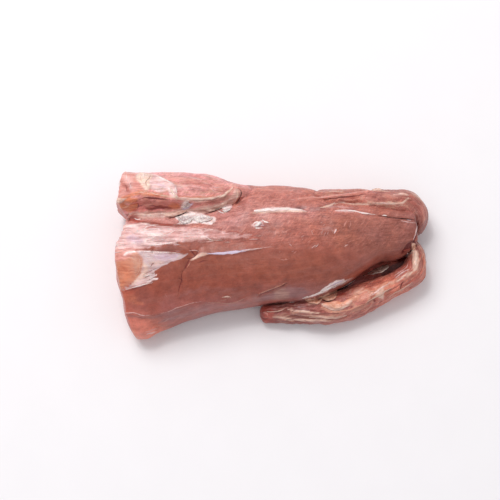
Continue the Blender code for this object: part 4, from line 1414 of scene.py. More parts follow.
# The near side of the main muscle
NEAR_MARKS = (
    Stroke(MAUVE, (
        (-88, -35), (-74, -36), (-66, -36.6), (-59, -35), (-52, -33), (-44.5, -30.6),
    ), 0.9, 0.4, -0.3, 0.6),
    Hair(ROSE, (
        (-84, -31.6), (-78.4, -33.8), (-74.6, -33.8), (-70.3, -35.2), (-64, -35),
    ), 0.6, 0.8),
    Hair(ROSE, (
        (-63, -34.8), (-55.7, -33), (-50.3, -30.8), (-43.3, -28.6), (-36, -27.9),
    ), 0.45, 0.5, 0.2, 0.4),
    Hair(TAN, ((-37, -27.9), (-28.7, -28.1), (-20.5, -27.5), (-12.4, -24.4)), 0.45, 0.5, 0.2, 0.4),
    Hair(FAT, ((-27.6, -25.6), (-25, -25), (-22.6, -25.2)), 0.7, 0.9, 0.2, 0.2),
    # Orange along the head's lower left edge and at its corner, partly painted light shining through
    Stroke(ORANGE, ((-84, -22), (-81, -26), (-76, -28), (-70, -29)), 3.4, 0.4, 0, 1.8),
    Stroke(RED, ((-74, -29.6), (-68, -30.4), (-62, -30)), 1.8, 0.3, -0.1, 1.4),
    Stroke(MAUVE, ((-50, -25), (-38, -22), (-28, -22), (-20, -22)), 2.6, 0.35, -0.1, 1.6),
    Stroke(BROWN, ((-60, -20), (-52, -20), (-46, -21)), 3, 0.3, -0.1, 2),
    Stroke(MAUVE, ((-62, -38), (-50, -34.6), (-38, -31.4), (-26, -30), (-12, -28)), 1.6, 0.5, 0, 0.9),
    Stroke(PEACH, ((-84, -40), (-78, -43.4), (-73, -46)), 2.6, 0.55, 0, 1.4),
    Hair(MAUVE, ((-83.4, -30), (-81.6, -36), (-79.4, -41)), 0.7, 0.7, -0.1),
    Hair(MAROON, ((-82, -34.8), (-76, -35.4), (-70, -36.6), (-63, -36.4)), 0.35, 0.5, -0.2, 0.5),
    Hair(PINK, ((-69.5, -42.8), (-66.5, -42), (-62.6, -40.4)), 0.8, 0.8, 0.2, 0.5),
    Hair(ROSE, ((-69, -44), (-65.5, -42.8), (-62, -41.6)), 0.7, 0.8, 0.2, 0.5),
    Patch(FAT, ((-88, -31), (-83.6, -31.6), (-81.6, -34), (-83, -35.4), (-88, -34)), 0.5, 0.9, 0.5),
    Hair(MAROON, ((-8, -24.8), (-1, -22.2), (3.5, -20.7), (7.5, -18.7)), 0.7, 0.7, -0.6, 0.5),
    Hair(PEACH, ((-9, -24), (-1, -21.4), (3.5, -19.9), (7.5, -17.8)), 0.6, 0.6, 0.4, 0.5),
    Patch(MAUVE, (
        (-14, -27), (-6, -24.6), (0, -22.6), (8, -19.6), (16, -20), (20, -22), (13.5, -25), (2.5, -26),
        (-8, -27),
    ), 1.2, 0.6, 0, 0.8),
    Patch(TAN, ((1, -22), (6.5, -21), (9, -23), (6.5, -26), (0.5, -26)), 1.2, 0.35, 0, 1),
    Patch(WHITE, (
        (21, -23.8), (25.5, -21.6), (30, -18.6), (33.5, -16.4), (38.5, -14.8), (39.4, -15.8),
        (37.5, -16.8), (33.5, -18.8), (30, -20.8), (26.5, -22.4),
    ), 0.4, 0.95, 0.1),
    Hair(MAUVE, ((28, -20.6), (32, -18.6), (36, -16.4)), 0.5, 0.5, -0.1, 0.4),
    Hair(STEEL, ((30, -19.4), (34.4, -17.2), (38.6, -15.2)), 0.7, 0.9, 0.1),
    Hair(WHITE, ((-3, -26.6), (4, -26.2), (8.5, -26), (12, -25.6), (17, -24.6)), 0.5, 0.9, 0.2, 0.2),
    Hair(WHITE, ((15.5, -24.8), (21.5, -23.6), (26.5, -21.8), (31, -20)), 0.9, 1, 0.3, 0.2),
    Hair(WHITE, ((35, -18), (39, -16.5), (42, -14.5), (46.5, -12)), 0.8, 1, 0.2, 0.2),
    # Painted shade under the pale near edge
    Hair(SLIT_SHADE, ((32, -20.2), (36, -18.2), (40, -16.6), (44, -14)), 0.6, 0.8, -0.3, 0.2),
    Stroke(MAUVE, ((12, -14), (26, -12), (40, -8), (50, -3)), 4, 0.25, 0, 2),
    Stroke(BROWN, ((-30, -6), (-10, -6), (10, -5)), 5, 0.25, 0, 2),
    Hair(ROSE, ((8.3, 1.6), (9.2, 1), (10, 0)), 0.5, 0.7, 0.1),
    Hair(ROSE, ((20.3, -1.2), (22, 0.4), (23.2, 1.2)), 0.5, 0.7, 0.1),
    Hair(WHITE, ((21.6, -0.8), (23, 0.2), (24.4, 2.2)), 0.4, 0.7, 0.1),
    Hair(ROSE, ((38, 0.4), (39, 1.4), (40.4, 1.8)), 0.7, 0.6, 0.1),
    Hair(PINK, ((-24.4, -4.8), (-22, -4.4), (-19.6, -3.7)), 0.4, 0.7, 0.1),
    Hair(PINK, ((2, -6), (5, -7), (9, -6.4)), 0.4, 0.6, 0.1),
    Hair(BROWN, ((-14, -10), (-8, -9.4), (-4, -10)), 0.4, 0.6, -0.1),
    Hair(PINK, ((-58, -24), (-57, -25.6), (-56, -27)), 0.4, 0.5, 0.1),
)

# The strip
STRIP_MARKS = (
    Stroke(MAROON, ((-8, -28), (-6.6, -31), (-8, -35)), 1.6, 0.8),
    Patch(RED, (
        (-10, -26), (-0.5, -28), (1.5, -31), (0, -35), (-5, -37), (-10, -34),
    ), 0.8, 0.75, 0.1, 0.6),
    Hair(MAROON, ((-7.4, -29), (-6.6, -32.4), (-4, -34.6), (-1.6, -34)), 0.8, 0.8, -0.2),
    Hair(PINK, ((-5, -31), (-3, -32), (-2.4, -33.4)), 0.7, 0.7),
    Patch(MAROON, ((-4, -26), (6, -27), (16, -27), (18, -25.5), (4, -25)), 1.2, 0.25, 0, 0.8),
    Patch(TAN, (
        (2, -33.4), (12, -34), (24, -34.6), (38, -34), (46, -30), (40, -30.6), (26, -31.2), (12, -30.4),
    ), 1.6, 0.25, 0, 1.4),
    Hair(MAROON, ((12.5, -30), (18.5, -30.8), (24.5, -31.2)), 0.8, 0.8, -0.4, 0.4),
    Hair(BROWN, ((6.5, -32.8), (13.5, -34), (20.5, -34.9), (28.5, -35)), 0.8, 0.9, -0.4, 0.4),
    Hair(BROWN, ((23, -33), (30, -33), (38, -32.4)), 0.7, 0.9, -0.3, 0.4),
    Hair(BROWN, ((27, -35.8), (36, -35.2), (44, -32.6)), 0.6, 0.8, -0.2, 0.4),
    Hair(MAROON, ((7, -28), (15, -28.6), (24, -28.8)), 0.7, 0.7, -0.4, 0.4),
    Hair(CREAM, ((-5, -31), (1.5, -31), (6.5, -29.5), (8.5, -28.5)), 0.7, 0.9, 0.4),
    Hair(CREAM, ((8, -30), (12, -31), (16, -31.5), (21.5, -32), (25.5, -32.4)), 0.4, 0.85, 0.3),
    Hair(CREAM, ((10, -32.4), (16, -33.2), (22, -33.8), (31, -33.9)), 0.45, 0.7),
    Hair(CREAM, ((20, -34.4), (26.5, -34.5), (34, -34.7), (40.5, -33.2)), 0.6, 0.9, 0.3),
    Hair(CREAM, ((12, -34.8), (19, -35.6), (26, -36.1), (33, -36)), 0.5, 0.7),
    Hair(PEACH, (
        (31, -31.3), (36.5, -31.4), (42, -30.4), (46.5, -28.5), (51, -26.8),
    ), 0.8, 0.8, 0.3),
    Hair(PEACH, ((25.5, -29), (30, -31), (36.5, -32)), 0.6, 0.7, 0.3),
    Hair(CREAM, ((0, -33.6), (6, -34.4), (12, -35)), 0.6, 0.7),
    Patch(PEACH, (
        (26.5, -27.8), (28.5, -26.6), (34, -26), (38, -26.6), (42.5, -24.6), (45.6, -22.6), (47, -24),
        (43.5, -26), (40.5, -28.5), (37.5, -30), (34, -30.5), (29.5, -29.2),
    ), 0.6, 0.85, 0.4, 0.6, 0.3),
    Stroke(ORANGE, ((34, -27), (36, -27.4), (37, -28.2)), 1, 0.7),
    Hair(FAT, (
        (26.6, -27.8), (29.5, -29.2), (34, -30.6), (37.5, -30), (40.5, -28.2), (43.4, -25.6),
    ), 0.7, 0.9, 0.3),
    Patch(RED, (
        (29.6, -25.6), (33.5, -24.6), (37, -23), (40, -21.4), (38, -20.4), (34.5, -23.5),
    ), 0.7, 0.9, -0.3),
    # Painted shade in a slit
    Hair(SLIT_SHADE, ((27.4, -25), (29, -25.6), (31, -25.6), (33, -24.8)), 0.8, 0.9, -0.4),
    Patch(PEACH, (
        (40, -24), (48, -20), (56, -16.6), (64, -13.6), (67, -17), (60, -21), (52, -25), (44, -28),
    ), 2, 0.4, 0, 1.4, 0.4),
    Patch(CREAM, (
        (57.5, -19.4), (60, -19), (61, -22), (60.5, -24.5), (58, -24.5), (56, -21),
    ), 0.9, 0.7, 0.3, 0.8, 0.5),
    Hair(MAROON, ((55, -25), (55.5, -26), (55.5, -26.8)), 1.2, 0.9, -0.3, 0.2),
    Hair(CREAM, ((50.5, -27), (56, -24), (62.5, -20), (67, -17.4)), 0.8, 0.8, 0.4, 0.5),
    Hair(BLUSH, ((52, -24), (57, -20.6), (62, -17.2), (65.6, -15)), 0.7, 0.8, 0.4, 0.5),
    Hair(CREAM, ((61.5, -25), (67, -21), (72, -18.4), (77, -14.4)), 0.7, 0.8, 0.3, 0.5),
    Hair(BROWN, ((52, -26.4), (58, -23), (64, -19.4)), 0.6, 0.8, -0.3, 0.5),
    Hair(BROWN, ((60, -22.6), (66, -19.4), (71, -16)), 0.6, 0.8, -0.3, 0.5),
    Hair(MAROON, ((71, -15.6), (70.2, -17.6), (70, -19.4)), 1, 0.95, -0.5, 0.2),
    Patch(RED, ((72, -15.6), (76, -12.5), (81, -11.5), (82, -14), (79, -17), (74, -19)), 1.2, 0.4, 0, 1),
    Hair(BLUSH, ((66, -14.5), (69, -12), (71, -10.6), (75, -9)), 0.8, 0.9, 0.3, 0.4),
    Hair(BLUSH, ((65.5, -12.6), (69.5, -10.2), (73, -8), (74.6, -4.5)), 0.6, 0.8, 0.3, 0.4),
    Hair(CREAM, ((67, -16), (71, -13.4), (76, -10.6)), 0.7, 0.8, 0.3, 0.5),
    Patch(CREAM, (
        (76, 1.6), (79, 1), (80, -4), (79, -9.5), (76.6, -10.5), (76, -5),
    ), 0.9, 0.75, 0.3, 0.9, 0.5),
    Hair(FAT, ((77.6, 0.4), (78.2, -4), (77.6, -9)), 0.9, 0.9, 0.3, 0.4),
    Hair(FAT, ((74.8, -0.8), (76, 1), (77.5, 2)), 0.8, 0.9, 0.3, 0.4),
    Hair(BROWN, ((80.5, 1), (81.4, -2.5), (81.8, -7), (80.6, -10.5)), 0.8, 0.8, -0.4, 0.4),
    Hair(PEACH, ((82, 0), (83, -4), (82.8, -8)), 0.8, 0.8, 0.3, 0.4),
    Hair(MAROON, ((75.4, -1), (76, -5), (75.4, -8.6)), 0.6, 0.6, -0.3, 0.4),
)

# The cleft behind the strip, darkened with painted shade
CLEFT_MARKS = (
    Patch(SLIT_SHADE, ((68, -1), (72, -0.8), (77, 1.6), (77, 4), (72, 2.6)), 1, 0.7, 0, 0.6, muscle=Part.WEB),
    Patch(CAVITY_SHADE, (
        (61, -10.6), (67, -9), (72, -5.6), (75, -2), (73, -1), (66, -3.5), (61, -6),
    ), 1, 0.6, 0, 0.8),
    Patch(CAVITY_SHADE, (
        (70, 0), (72, 3), (75, 5), (77.4, 5), (76.2, 1.4), (73.4, -1.4), (70, -2),
    ), 0.6, 0.95, -0.4, 0.6),
    Hair(RED, ((70.5, 0.4), (73, 0.8), (76, 2)), 0.6, 0.9, 0),
)

# Short fine fibres, glints and streaks
WISPS = (
    Wisps((WHITE, BLUSH, RED, WHITE), (-66, 7), (19, 9), 3, 9, 120, 0.5, 0.85, Part.MAIN, 21),
    Wisps((LILAC, BLUSH), (-72, 5), (12, 9), -4, 8, 30, 0.5, 0.8, Part.MAIN, 41),
    Wisps((WHITE, RED, BLUSH), (-30, 6.4), (22, 4.2), -3, 7, 84, 0.45, 0.8, Part.MAIN, 22),
    Wisps((ROSE, PEACH, BLUSH, RED), (-44, 34), (20, 5), -3, 6, 70, 0.5, 0.7, Part.FLAP, 23),
    Wisps((BLUSH, LILAC, RED), (-80, 36), (5, 7), 70, 5, 24, 0.5, 0.8, Part.FLAP, 42),
    Wisps((WHITE, MAUVE, FAT), (-41, 16.4), (10, 3), 8, 4, 22, 0.4, 0.9, seed=24),
    Wisps((PEACH, PINK, MAROON), (-62, 23), (14, 2.2), 0, 5, 30, 0.5, 0.7, Part.FLAP, 25),
    Wisps((PEACH, MAROON), (-36, 24.6), (10, 1.4), 6, 4, 18, 0.45, 0.7, Part.FLAP, 26),
    Wisps((PINK, ROSE, RED), (0, 26), (30, 8), -2, 4, 70, 0.4, 0.6, seed=27),
    Wisps((PINK, CREAM, MAROON), (52, 30), (24, 5), -1, 7, 44, 0.45, 0.65, Part.LOBE, 28),
    Wisps((ROSE, PINK), (20, 11), (24, 6), 40, 2.4, 40, 0.4, 0.5, Part.MAIN, 29),
    Wisps((CREAM, MAROON, PEACH), (18, -32.4), (18, 4), -3, 9, 60, 0.4, 0.7, Part.STRIP, 30),
    Wisps((CREAM, PEACH, BROWN), (50, -25), (10, 5), 26, 6, 40, 0.45, 0.75, Part.STRIP, 31),
    Wisps((CREAM, PEACH, BROWN), (70, -14), (12, 5), 40, 5, 44, 0.45, 0.75, Part.STRIP, 32),
    Wisps((CREAM, FAT, BROWN), (79, -3), (7, 4), 82, 4, 26, 0.5, 0.8, Part.STRIP, 33),
    Wisps((PINK, BROWN), (0, -8), (44, 12), 1, 4, 26, 0.35, 0.4, Part.MAIN, 34),
    Wisps((ROSE, TAN), (-44, -34), (24, 4), 16, 8, 18, 0.35, 0.4, Part.MAIN, 35),
    Wisps((PEACH, CREAM, MAROON), (58, -12), (12, 4), 22, 6, 20, 0.4, 0.6, seed=36),
)


# Shaders


class Value:
    """A number in a material, which takes part in sums as a number in Python does."""

    def __init__(self, graph: "Graph", socket: Socket) -> None:
        """Keeps the material's graph and the output that holds the number."""
        self.graph = graph
        self.socket = socket

    def __add__(self, other: "Number") -> "Value":
        """The sum."""
        return self.graph.math("ADD", self, other)

    __radd__ = __add__

    def __sub__(self, other: "Number") -> "Value":
        """The difference."""
        return self.graph.math("SUBTRACT", self, other)

    def __rsub__(self, other: "Number") -> "Value":
        """The difference from a number."""
        return self.graph.math("SUBTRACT", other, self)

    def __mul__(self, other: "Number") -> "Value":
        """The product."""
        return self.graph.math("MULTIPLY", self, other)

    __rmul__ = __mul__

    def __pow__(self, other: "Number") -> "Value":
        """The power."""
        return self.graph.math("POWER", self, other)


Number = Union[Value, float]


class Graph:
    """The nodes of one material."""

    def __init__(self, name: str) -> None:
        """Makes a material with a surface shader."""
        self.material = bpy.data.materials.new(name)
        self.material.use_nodes = True
        self.tree = self.material.node_tree
        self.shader = self.tree.nodes["Principled BSDF"]

    def node(self, kind: str, settings: dict, inputs: dict) -> bpy.types.Node:
        """Makes a node, sets it and fills its sockets.

        Args:
            kind: the node's type.
            settings: its properties.
            inputs: a value, a colour or an output for each socket, by name or number.

        Returns:
            The node.
        """
        made = self.tree.nodes.new(kind)
        for name, value in settings.items():
            setattr(made, name, value)
        for place, value in inputs.items():
            self.fill(made.inputs[place], value)
        return made

    def fill(self, socket: Socket, value: object) -> None:
        """Links an output to the socket, or sets the socket's own value."""
        if isinstance(value, Value):
            self.tree.links.new(value.socket, socket)
        elif isinstance(value, Socket):
            self.tree.links.new(value, socket)
        elif isinstance(value, tuple) and len(value) == 3 and socket.type == "RGBA":
            socket.default_value = (*value, 1.0)
        else:
            socket.default_value = value

    def math(self, operation: str, first: Number, second: Number) -> Value:
        """A Math node on two numbers."""
        made = self.node("ShaderNodeMath", {"operation": operation}, {0: first, 1: second})
        return Value(self, made.outputs[0])

    def stretch(self, vector: Socket, factors: tuple) -> Socket:
        """The vector with each coordinate multiplied by its factor."""
        inputs = {0: vector, 1: factors}
        return self.node("ShaderNodeVectorMath", {"operation": "MULTIPLY"}, inputs).outputs[0]

    def shifted(self, vector: Socket, by: Value, way: tuple) -> Socket:
        """The vector moved by a number of steps one way."""
        made = self.node("ShaderNodeVectorMath", {"operation": "SCALE"}, {0: way, "Scale": by})
        inputs = {0: vector, 1: made.outputs[0]}
        return self.node("ShaderNodeVectorMath", {"operation": "ADD"}, inputs).outputs[0]

    def noise(self, vector: Socket, scale: float, detail: float, rough: float) -> Value:
        """Cloudy noise from 0 to 1 at so many cells to the metre."""
        inputs = {"Vector": vector, "Scale": scale, "Detail": detail, "Roughness": rough}
        return Value(self, self.node("ShaderNodeTexNoise", {}, inputs).outputs["Fac"])

    def fibres(self, grain: Socket, cells: Pair, detail: float, rough: float) -> Value:
        """Noise from 0 to 1 at so many cells to the metre along and around the grain."""
        return self.noise(self.stretch(grain, (*cells, 1.0)), 1.0, detail, rough)

    def step(self, value: Value, low: float, high: float) -> Value:
        """A smooth rise from 0 at low to 1 at high."""
        inputs = {"Value": value, "From Min": low, "From Max": high}
        made = self.node("ShaderNodeMapRange", {"interpolation_type": "SMOOTHSTEP"}, inputs)
        return Value(self, made.outputs[0])

    def mix(self, share: Number, first: object, second: object, blend: str = "MIX") -> Socket:
        """A colour between two colours, or one laid on the other by a blend mode.

        Args:
            share: how much of the second colour.
            first: a colour or an output.
            second: a colour or an output.
            blend: the Mix node's blend mode.

        Returns:
            The colour's output.
        """
        settings = {"data_type": "RGBA", "blend_type": blend}
        made = self.node("ShaderNodeMix", settings, {"Factor": share, 6: first, 7: second})
        return made.outputs[2]

    def tinted(self, colour: Socket, factors: Triple) -> Socket:
        """The colour with each of its parts multiplied by a factor."""
        return self.mix(1.0, colour, factors, "MULTIPLY")

    def number(self, name: str) -> Value:
        """A number stored on the mesh's points."""
        return Value(self, self.stored(name).outputs["Fac"])

    def colour(self, name: str) -> Socket:
        """A colour stored on the mesh's points."""
        return self.stored(name).outputs["Color"]

    def stored(self, name: str) -> bpy.types.Node:
        """The node that reads what the mesh's points hold under a name."""
        return self.node("ShaderNodeAttribute", {"attribute_name": name}, {})

    def grain(self) -> Socket:
        """The place along and around the grain, in metres."""
        return self.node("ShaderNodeUVMap", {"uv_map": "grain"}, {}).outputs["UV"]

    def place(self) -> Socket:
        """The place in the object, in metres."""
        return self.node("ShaderNodeTexCoord", {}, {}).outputs["Object"]

    def surface(self, **inputs: object) -> None:
        """Fills the shader's sockets, with underscores in their names for spaces."""
        for name, value in inputs.items():
            self.fill(self.shader.inputs[name.replace("_", " ")], value)

    def relief(self, height: Value) -> None:
        """Bumps the surface by a height in metres."""
        bump = self.node("ShaderNodeBump", {}, {"Strength": 1.0, "Distance": 1.0, "Height": height})
        self.surface(Normal=bump.outputs[0])


class MeatPatterns:
    """The noise and the stored numbers that the meat's colour and relief share, from 0 to 1."""

    def __init__(self, graph: Graph, finish: "MeatFinish") -> None:
        """Makes the nodes.

        Args:
            graph: the material's nodes.
            finish: the sizes of the patterns.
        """
        names = ("fibrous", "cut", "ticked", "sinewy", "gloss")
        self.fibrous, self.cut, self.ticked, self.sinewy, self.gloss = map(graph.number, names)
        place = graph.place()
        waver = graph.noise(place, finish.waver, 2.0, 0.5)
        grain = graph.shifted(graph.grain(), waver - 0.5, finish.waver_reach)
        self.fine = graph.fibres(grain, finish.fibre, 3.0, 0.65)
        self.broad = graph.fibres(grain, finish.bundle, 3.0, 0.6)
        self.streak = graph.fibres(grain, finish.streak, 4.0, 0.6)
        self.strand = graph.fibres(grain, finish.strand, 4.0, 0.6)
        self.mottle = graph.noise(place, finish.mottle, 4.0, 0.6)
        self.grit = graph.noise(place, finish.grit, 3.0, 0.65)
        turned = {"Vector": place, "Angle": finish.tick_turn}
        slanted = graph.node("ShaderNodeVectorRotate", {"rotation_type": "Z_AXIS"}, turned)
        self.ticks = graph.noise(graph.stretch(slanted.outputs[0], finish.tick), 1.0, 2.0, 0.6)
        self.depth = self.fine * 0.55 + self.broad * 0.45 - 0.5
        shred = self.fine * 0.35 + self.broad * 0.2 + self.grit * 0.45 - 0.5
        self.covered = graph.step(graph.number("cover") + shred * 0.6, 0.1, 0.8)


@dataclass(frozen=True)
class MeatFinish:
    """Moist raw pork: the lean's fibres, with the tissues that the marks laid over it.

    Pale and dark are what the lean's colour is multiplied by, bright and dim a tissue's, and shaded
    either one's for painted shade in a hollow, where the painted deep shade is the darkest. From waver
    to tick, the patterns' sizes are in cells to the metre, and reaches are how far a pattern wanders,
    in metres.
    """

    name: str = "raw_pork"
    roughness: float = 0.45
    coat: float = 0.12
    coat_roughness: float = 0.2
    under_skin: float = 0.15
    under_skin_reach: float = 0.0025
    under_skin_spread: Triple = (1.0, 0.35, 0.22)
    pale: Triple = (1.6, 1.72, 1.74)
    dark: Triple = (0.58, 0.44, 0.43)
    bright: Triple = (1.22, 1.28, 1.3)
    dim: Triple = (0.72, 0.58, 0.58)
    shaded: Triple = (0.5, 0.3, 0.28)
    # Painted shade: the near-black red at the bottom of a hollow
    painted_deep_shade: Triple = linear(62, 20, 18)
    bundle_rim: Triple = linear(236, 190, 176)
    waver: float = 260.0
    waver_reach: Triple = (0.0012, 0.0018, 0.0)
    fibre: Pair = (240.0, 1400.0)
    bundle: Pair = (60.0, 420.0)
    streak: Pair = (26.0, 520.0)
    strand: Pair = (60.0, 900.0)
    mottle: float = 210.0
    grit: float = 1500.0
    cell: float = 330.0
    cell_reach: Triple = (0.002, 0.002, 0.002)
    wet: float = 120.0
    tick: Triple = (260.0, 1100.0, 260.0)
    tick_turn: float = -0.9
    line_fray: float = 0.5
    line_edge: float = 0.2
    line_rise: float = 0.00022

    def material(self) -> bpy.types.Material:
        """The material, from the numbers and colours that the meat's points hold."""
        graph = Graph(self.name)
        noise = MeatPatterns(graph, self)
        colour = graph.mix(noise.covered, self.lean(graph, noise), self.skin(graph, noise))
        rim = self.rims(graph, noise)
        colour = graph.mix(rim * 0.25, colour, self.bundle_rim)
        colour, drawn, raised = self.lines(graph, colour, noise.grit)
        # Painted shade: darker in hollows and low in the cleft, and near-black red at the deepest
        shade = graph.number("shade")
        deep = graph.tinted(colour, self.shaded)
        colour = graph.mix(graph.step(shade, 0.0, 0.6), colour, deep)
        colour = graph.mix(graph.step(shade, 0.5, 1.0), colour, self.painted_deep_shade)
        graph.relief(self.height(noise, rim) + raised)

        wet = graph.step(graph.noise(graph.place(), self.wet, 3.0, 0.6), 0.42, 0.6)
        gloss = noise.gloss * noise.covered + drawn * 0.4
        graph.surface(
            Base_Color=colour,
            Roughness=self.roughness + (noise.mottle - 0.5) * 0.25 - gloss * 0.16 - wet * 0.06,
            Coat_Weight=self.coat + gloss * 0.35 + wet * 0.14,
            Coat_Roughness=self.coat_roughness,
            Subsurface_Weight=self.under_skin,
            Subsurface_Radius=self.under_skin_spread,
            Subsurface_Scale=self.under_skin_reach,
            IOR=MOIST_IOR,
        )
        return graph.material

    def lean(self, graph: Graph, noise: MeatPatterns) -> Socket:
        """The lean's colour: its tone, paler and darker by its fibres, with sinewy streaks.

        Args:
            graph: the material's nodes.
            noise: its patterns.

        Returns:
            The colour.
        """
        tone = graph.colour("tone")
        share = 0.5 + noise.depth * (noise.fibrous * 1.6 + (1.0 - noise.cut) * 0.3)
        share = share + (noise.mottle - 0.5) * 0.85
        share = share + (noise.grit - 0.5) * (noise.fibrous * 0.35 + 0.3)
        share = share + (graph.step(noise.ticks, 0.5, 0.72) - 0.25) * noise.ticked * 0.3
        dark, pale = graph.tinted(tone, self.dark), graph.tinted(tone, self.pale)
        lean = graph.mix(graph.step(share, -0.1, 1.1), dark, pale)
        streaks = graph.step(noise.streak, 0.52, 0.66) * noise.sinewy
        return graph.mix(streaks * 0.6, lean, self.bundle_rim)

    def skin(self, graph: Graph, noise: MeatPatterns) -> Socket:
        """The colour of the tissue over the lean, whose strands are fainter where it is glossy.

        Args:
            graph: the material's nodes.
            noise: its patterns.

        Returns:
            The colour.
        """
        tissue = graph.colour("tissue")
        streaked = graph.step(noise.strand * 0.6 + noise.mottle * 0.4, 0.36, 0.62) - 0.5
        share = 0.5 + streaked * (1.0 - noise.gloss * 0.35)
        return graph.mix(share, graph.tinted(tissue, self.dim), graph.tinted(tissue, self.bright))

    def rims(self, graph: Graph, noise: MeatPatterns) -> Value:
        """Where the pale rims of bundles show on a cut, at the edges of wandering cells.

        Args:
            graph: the material's nodes.
            noise: its patterns.

        Returns:
            How much of a rim is there, from 0 to 1.
        """
        shifted = graph.shifted(graph.place(), noise.mottle, self.cell_reach)
        inputs = {"Vector": shifted, "Scale": self.cell}
        cells = graph.node("ShaderNodeTexVoronoi", {"feature": "DISTANCE_TO_EDGE"}, inputs)
        rim = graph.step(Value(graph, cells.outputs["Distance"]), 0.09, 0.01)
        return rim * graph.step(noise.mottle, 0.42, 0.62) * noise.cut

    def height(self, noise: MeatPatterns, rim: Value) -> Value:
        """The fine relief, which is low where a tissue covers the fibres.

        Args:
            noise: the material's patterns.
            rim: where the rims of bundles are.

        Returns:
            The height in metres.
        """
        fibrous, cut, covered = noise.fibrous, noise.cut, noise.covered
        height = noise.depth * (fibrous * 0.00045 + (1.0 - cut) * 0.0001)
        height = height * ((1.0 - covered) * 0.8 + 0.2)
        height = height + (noise.grit - 0.5) * (fibrous * 0.0001 + cut * 0.0003 + 0.00005)
        height = height + (noise.strand - 0.5) * covered * 0.00035
        height = height + (noise.mottle - 0.5) * 0.0004
        height = height + (noise.streak - 0.5) * noise.sinewy * 0.0004 - rim * 0.0001
        return height + (noise.ticks - 0.5) * noise.ticked * 0.00025

    def lines(self, graph: Graph, colour: Socket, grit: Value) -> tuple[Socket, Value, Value]:
        """Draws the fine lines of every layer, where a point is nearer than half a line's width.

        Args:
            graph: the material's nodes.
            colour: what the lines are drawn on.
            grit: fine noise, which roughens the lines' edges.

        Returns:
            The colour with the lines, how much of a line is there, and how far it is raised.
        """
        drawn = graph.math("MULTIPLY", 0.0, 0.0)
        raised = drawn
        for layer in range(LINE_LAYERS):
            parts = graph.node("ShaderNodeSeparateColor", {}, {0: graph.colour(f"line_{layer}")})
            gap, half, strength = (Value(graph, socket) for socket in parts.outputs)
            inside = half - graph.math("ABSOLUTE", gap, 0.0) + (grit - 0.5) * self.line_fray
            share = graph.step(inside, 0.0, self.line_edge)
            shown = share * graph.math("ABSOLUTE", strength, 0.0)
            colour = graph.mix(shown, colour, graph.colour(f"line_{layer}_tint"))
            drawn = graph.math("MAXIMUM", drawn, shown)
            raised = raised + share * strength * self.line_rise
        return colour, drawn, raised


# The meat


class Net:
    """The edges of a mesh, for means over neighbouring points."""

    def __init__(self, target: bpy.types.Object) -> None:
        """Reads which points each edge joins."""
        ends = np.empty(len(target.data.edges) * 2, np.int32)
        target.data.edges.foreach_get("vertices", ends)
        self.starts, self.ends = ends.reshape(-1, 2).T
        self.count = len(target.data.vertices)
        both = np.concatenate([self.starts, self.ends])
        self.neighbours = np.maximum(np.bincount(both, minlength=self.count), 1)

    def mean(self, values: Array) -> Array:
        """The mean of each point's neighbours: sums over the edges, divided by their number.

        Args:
            values: one number or one row for each point.

        Returns:
            The same shape.
        """
        if values.ndim == 2:
            return np.stack([self.mean(column) for column in values.T], axis=1)
        total = np.bincount(self.starts, values[self.ends], self.count)
        total += np.bincount(self.ends, values[self.starts], self.count)
        return total / self.neighbours

    def largest(self, values: Array) -> Array:
        """The largest number among each point and its neighbours."""
        found = values.copy()
        np.maximum.at(found, self.starts, values[self.ends])
        np.maximum.at(found, self.ends, values[self.starts])
        return found

    def smooth(self, values: Array, passes: int) -> Array:
        """The values after so many passes halfway towards the neighbours' mean."""
        for _ in range(passes):
            values = 0.5 * (values + self.mean(values))
        return values


@dataclass(frozen=True)
class Tone:
    """The colour of the lean meat about a place in plan, on one muscle or on any."""

    place: Pair
    reach: Pair
    screen: Screen
    muscle: Part = Part.ANY

    def weight(self, points: Array, number: Array) -> Array:
        """How much each point takes of it: exp of minus (distance / reach) squared."""
        gap = (points[:, :2] - self.place) / self.reach
        weight = np.exp(-(gap**2).sum(axis=1))
        if self.muscle:
            weight = weight * np.where(np.round(number) == self.muscle, 1.0, 0.02)
        return weight


# The lean's tones are partly its own colour and partly painted light: paler towards the far side, which
# faces the key light, and darker on the near half; the orange at the head's left edge and lower corner
# partly paints light shining through the meat, and the web's tone is raised as painted light in the
# cleft's shade.
TONES = (
    Tone((-48, 38), (30, 9), (219, 152, 148), Part.FLAP),
    Tone((-82, 36), (6, 12), (218, 162, 158), Part.FLAP),
    Tone((-60, 22), (24, 3), (224, 140, 132), Part.FLAP),
    Tone((20, 27), (40, 8), (178, 107, 94)),
    Tone((-10, 20), (26, 8), (188, 126, 118)),
    Tone((5, 6), (24, 7), (164, 92, 79)),
    Tone((45, 8), (18, 7), (156, 91, 76)),
    Tone((0, -9), (34, 8), (144, 76, 60)),
    Tone((62, 9), (16, 9), (148, 87, 77)),
    Tone((-22, -22), (26, 6), (147, 74, 58)),
    Tone((-30, -30), (40, 5), (158, 92, 86)),
    Tone((15, -24), (24, 4), (148, 90, 85)),
    Tone((-68, -26), (14, 8), (148, 75, 60)),
    Tone((-84, -24), (6, 14), (200, 96, 74)),
    Tone((-76, -42), (10, 6), (216, 124, 104)),
    Tone((70, 30), (18, 10), (162, 97, 86), Part.LOBE),
    Tone((10, -31), (14, 8), (140, 74, 66), Part.STRIP),
    Tone((38, -28), (14, 8), (182, 108, 96), Part.STRIP),
    Tone((68, -15), (16, 9), (202, 116, 97), Part.STRIP),
    Tone((-5, -32), (6, 8), (145, 60, 58), Part.STRIP),
    Tone((56, -13), (16, 4), (174, 96, 84), Part.STRIP),
    Tone((67, -9), (10, 4), (150, 78, 70), Part.STRIP),
    Tone((55, -10), (24, 8), (190, 94, 84), Part.WEB),
)


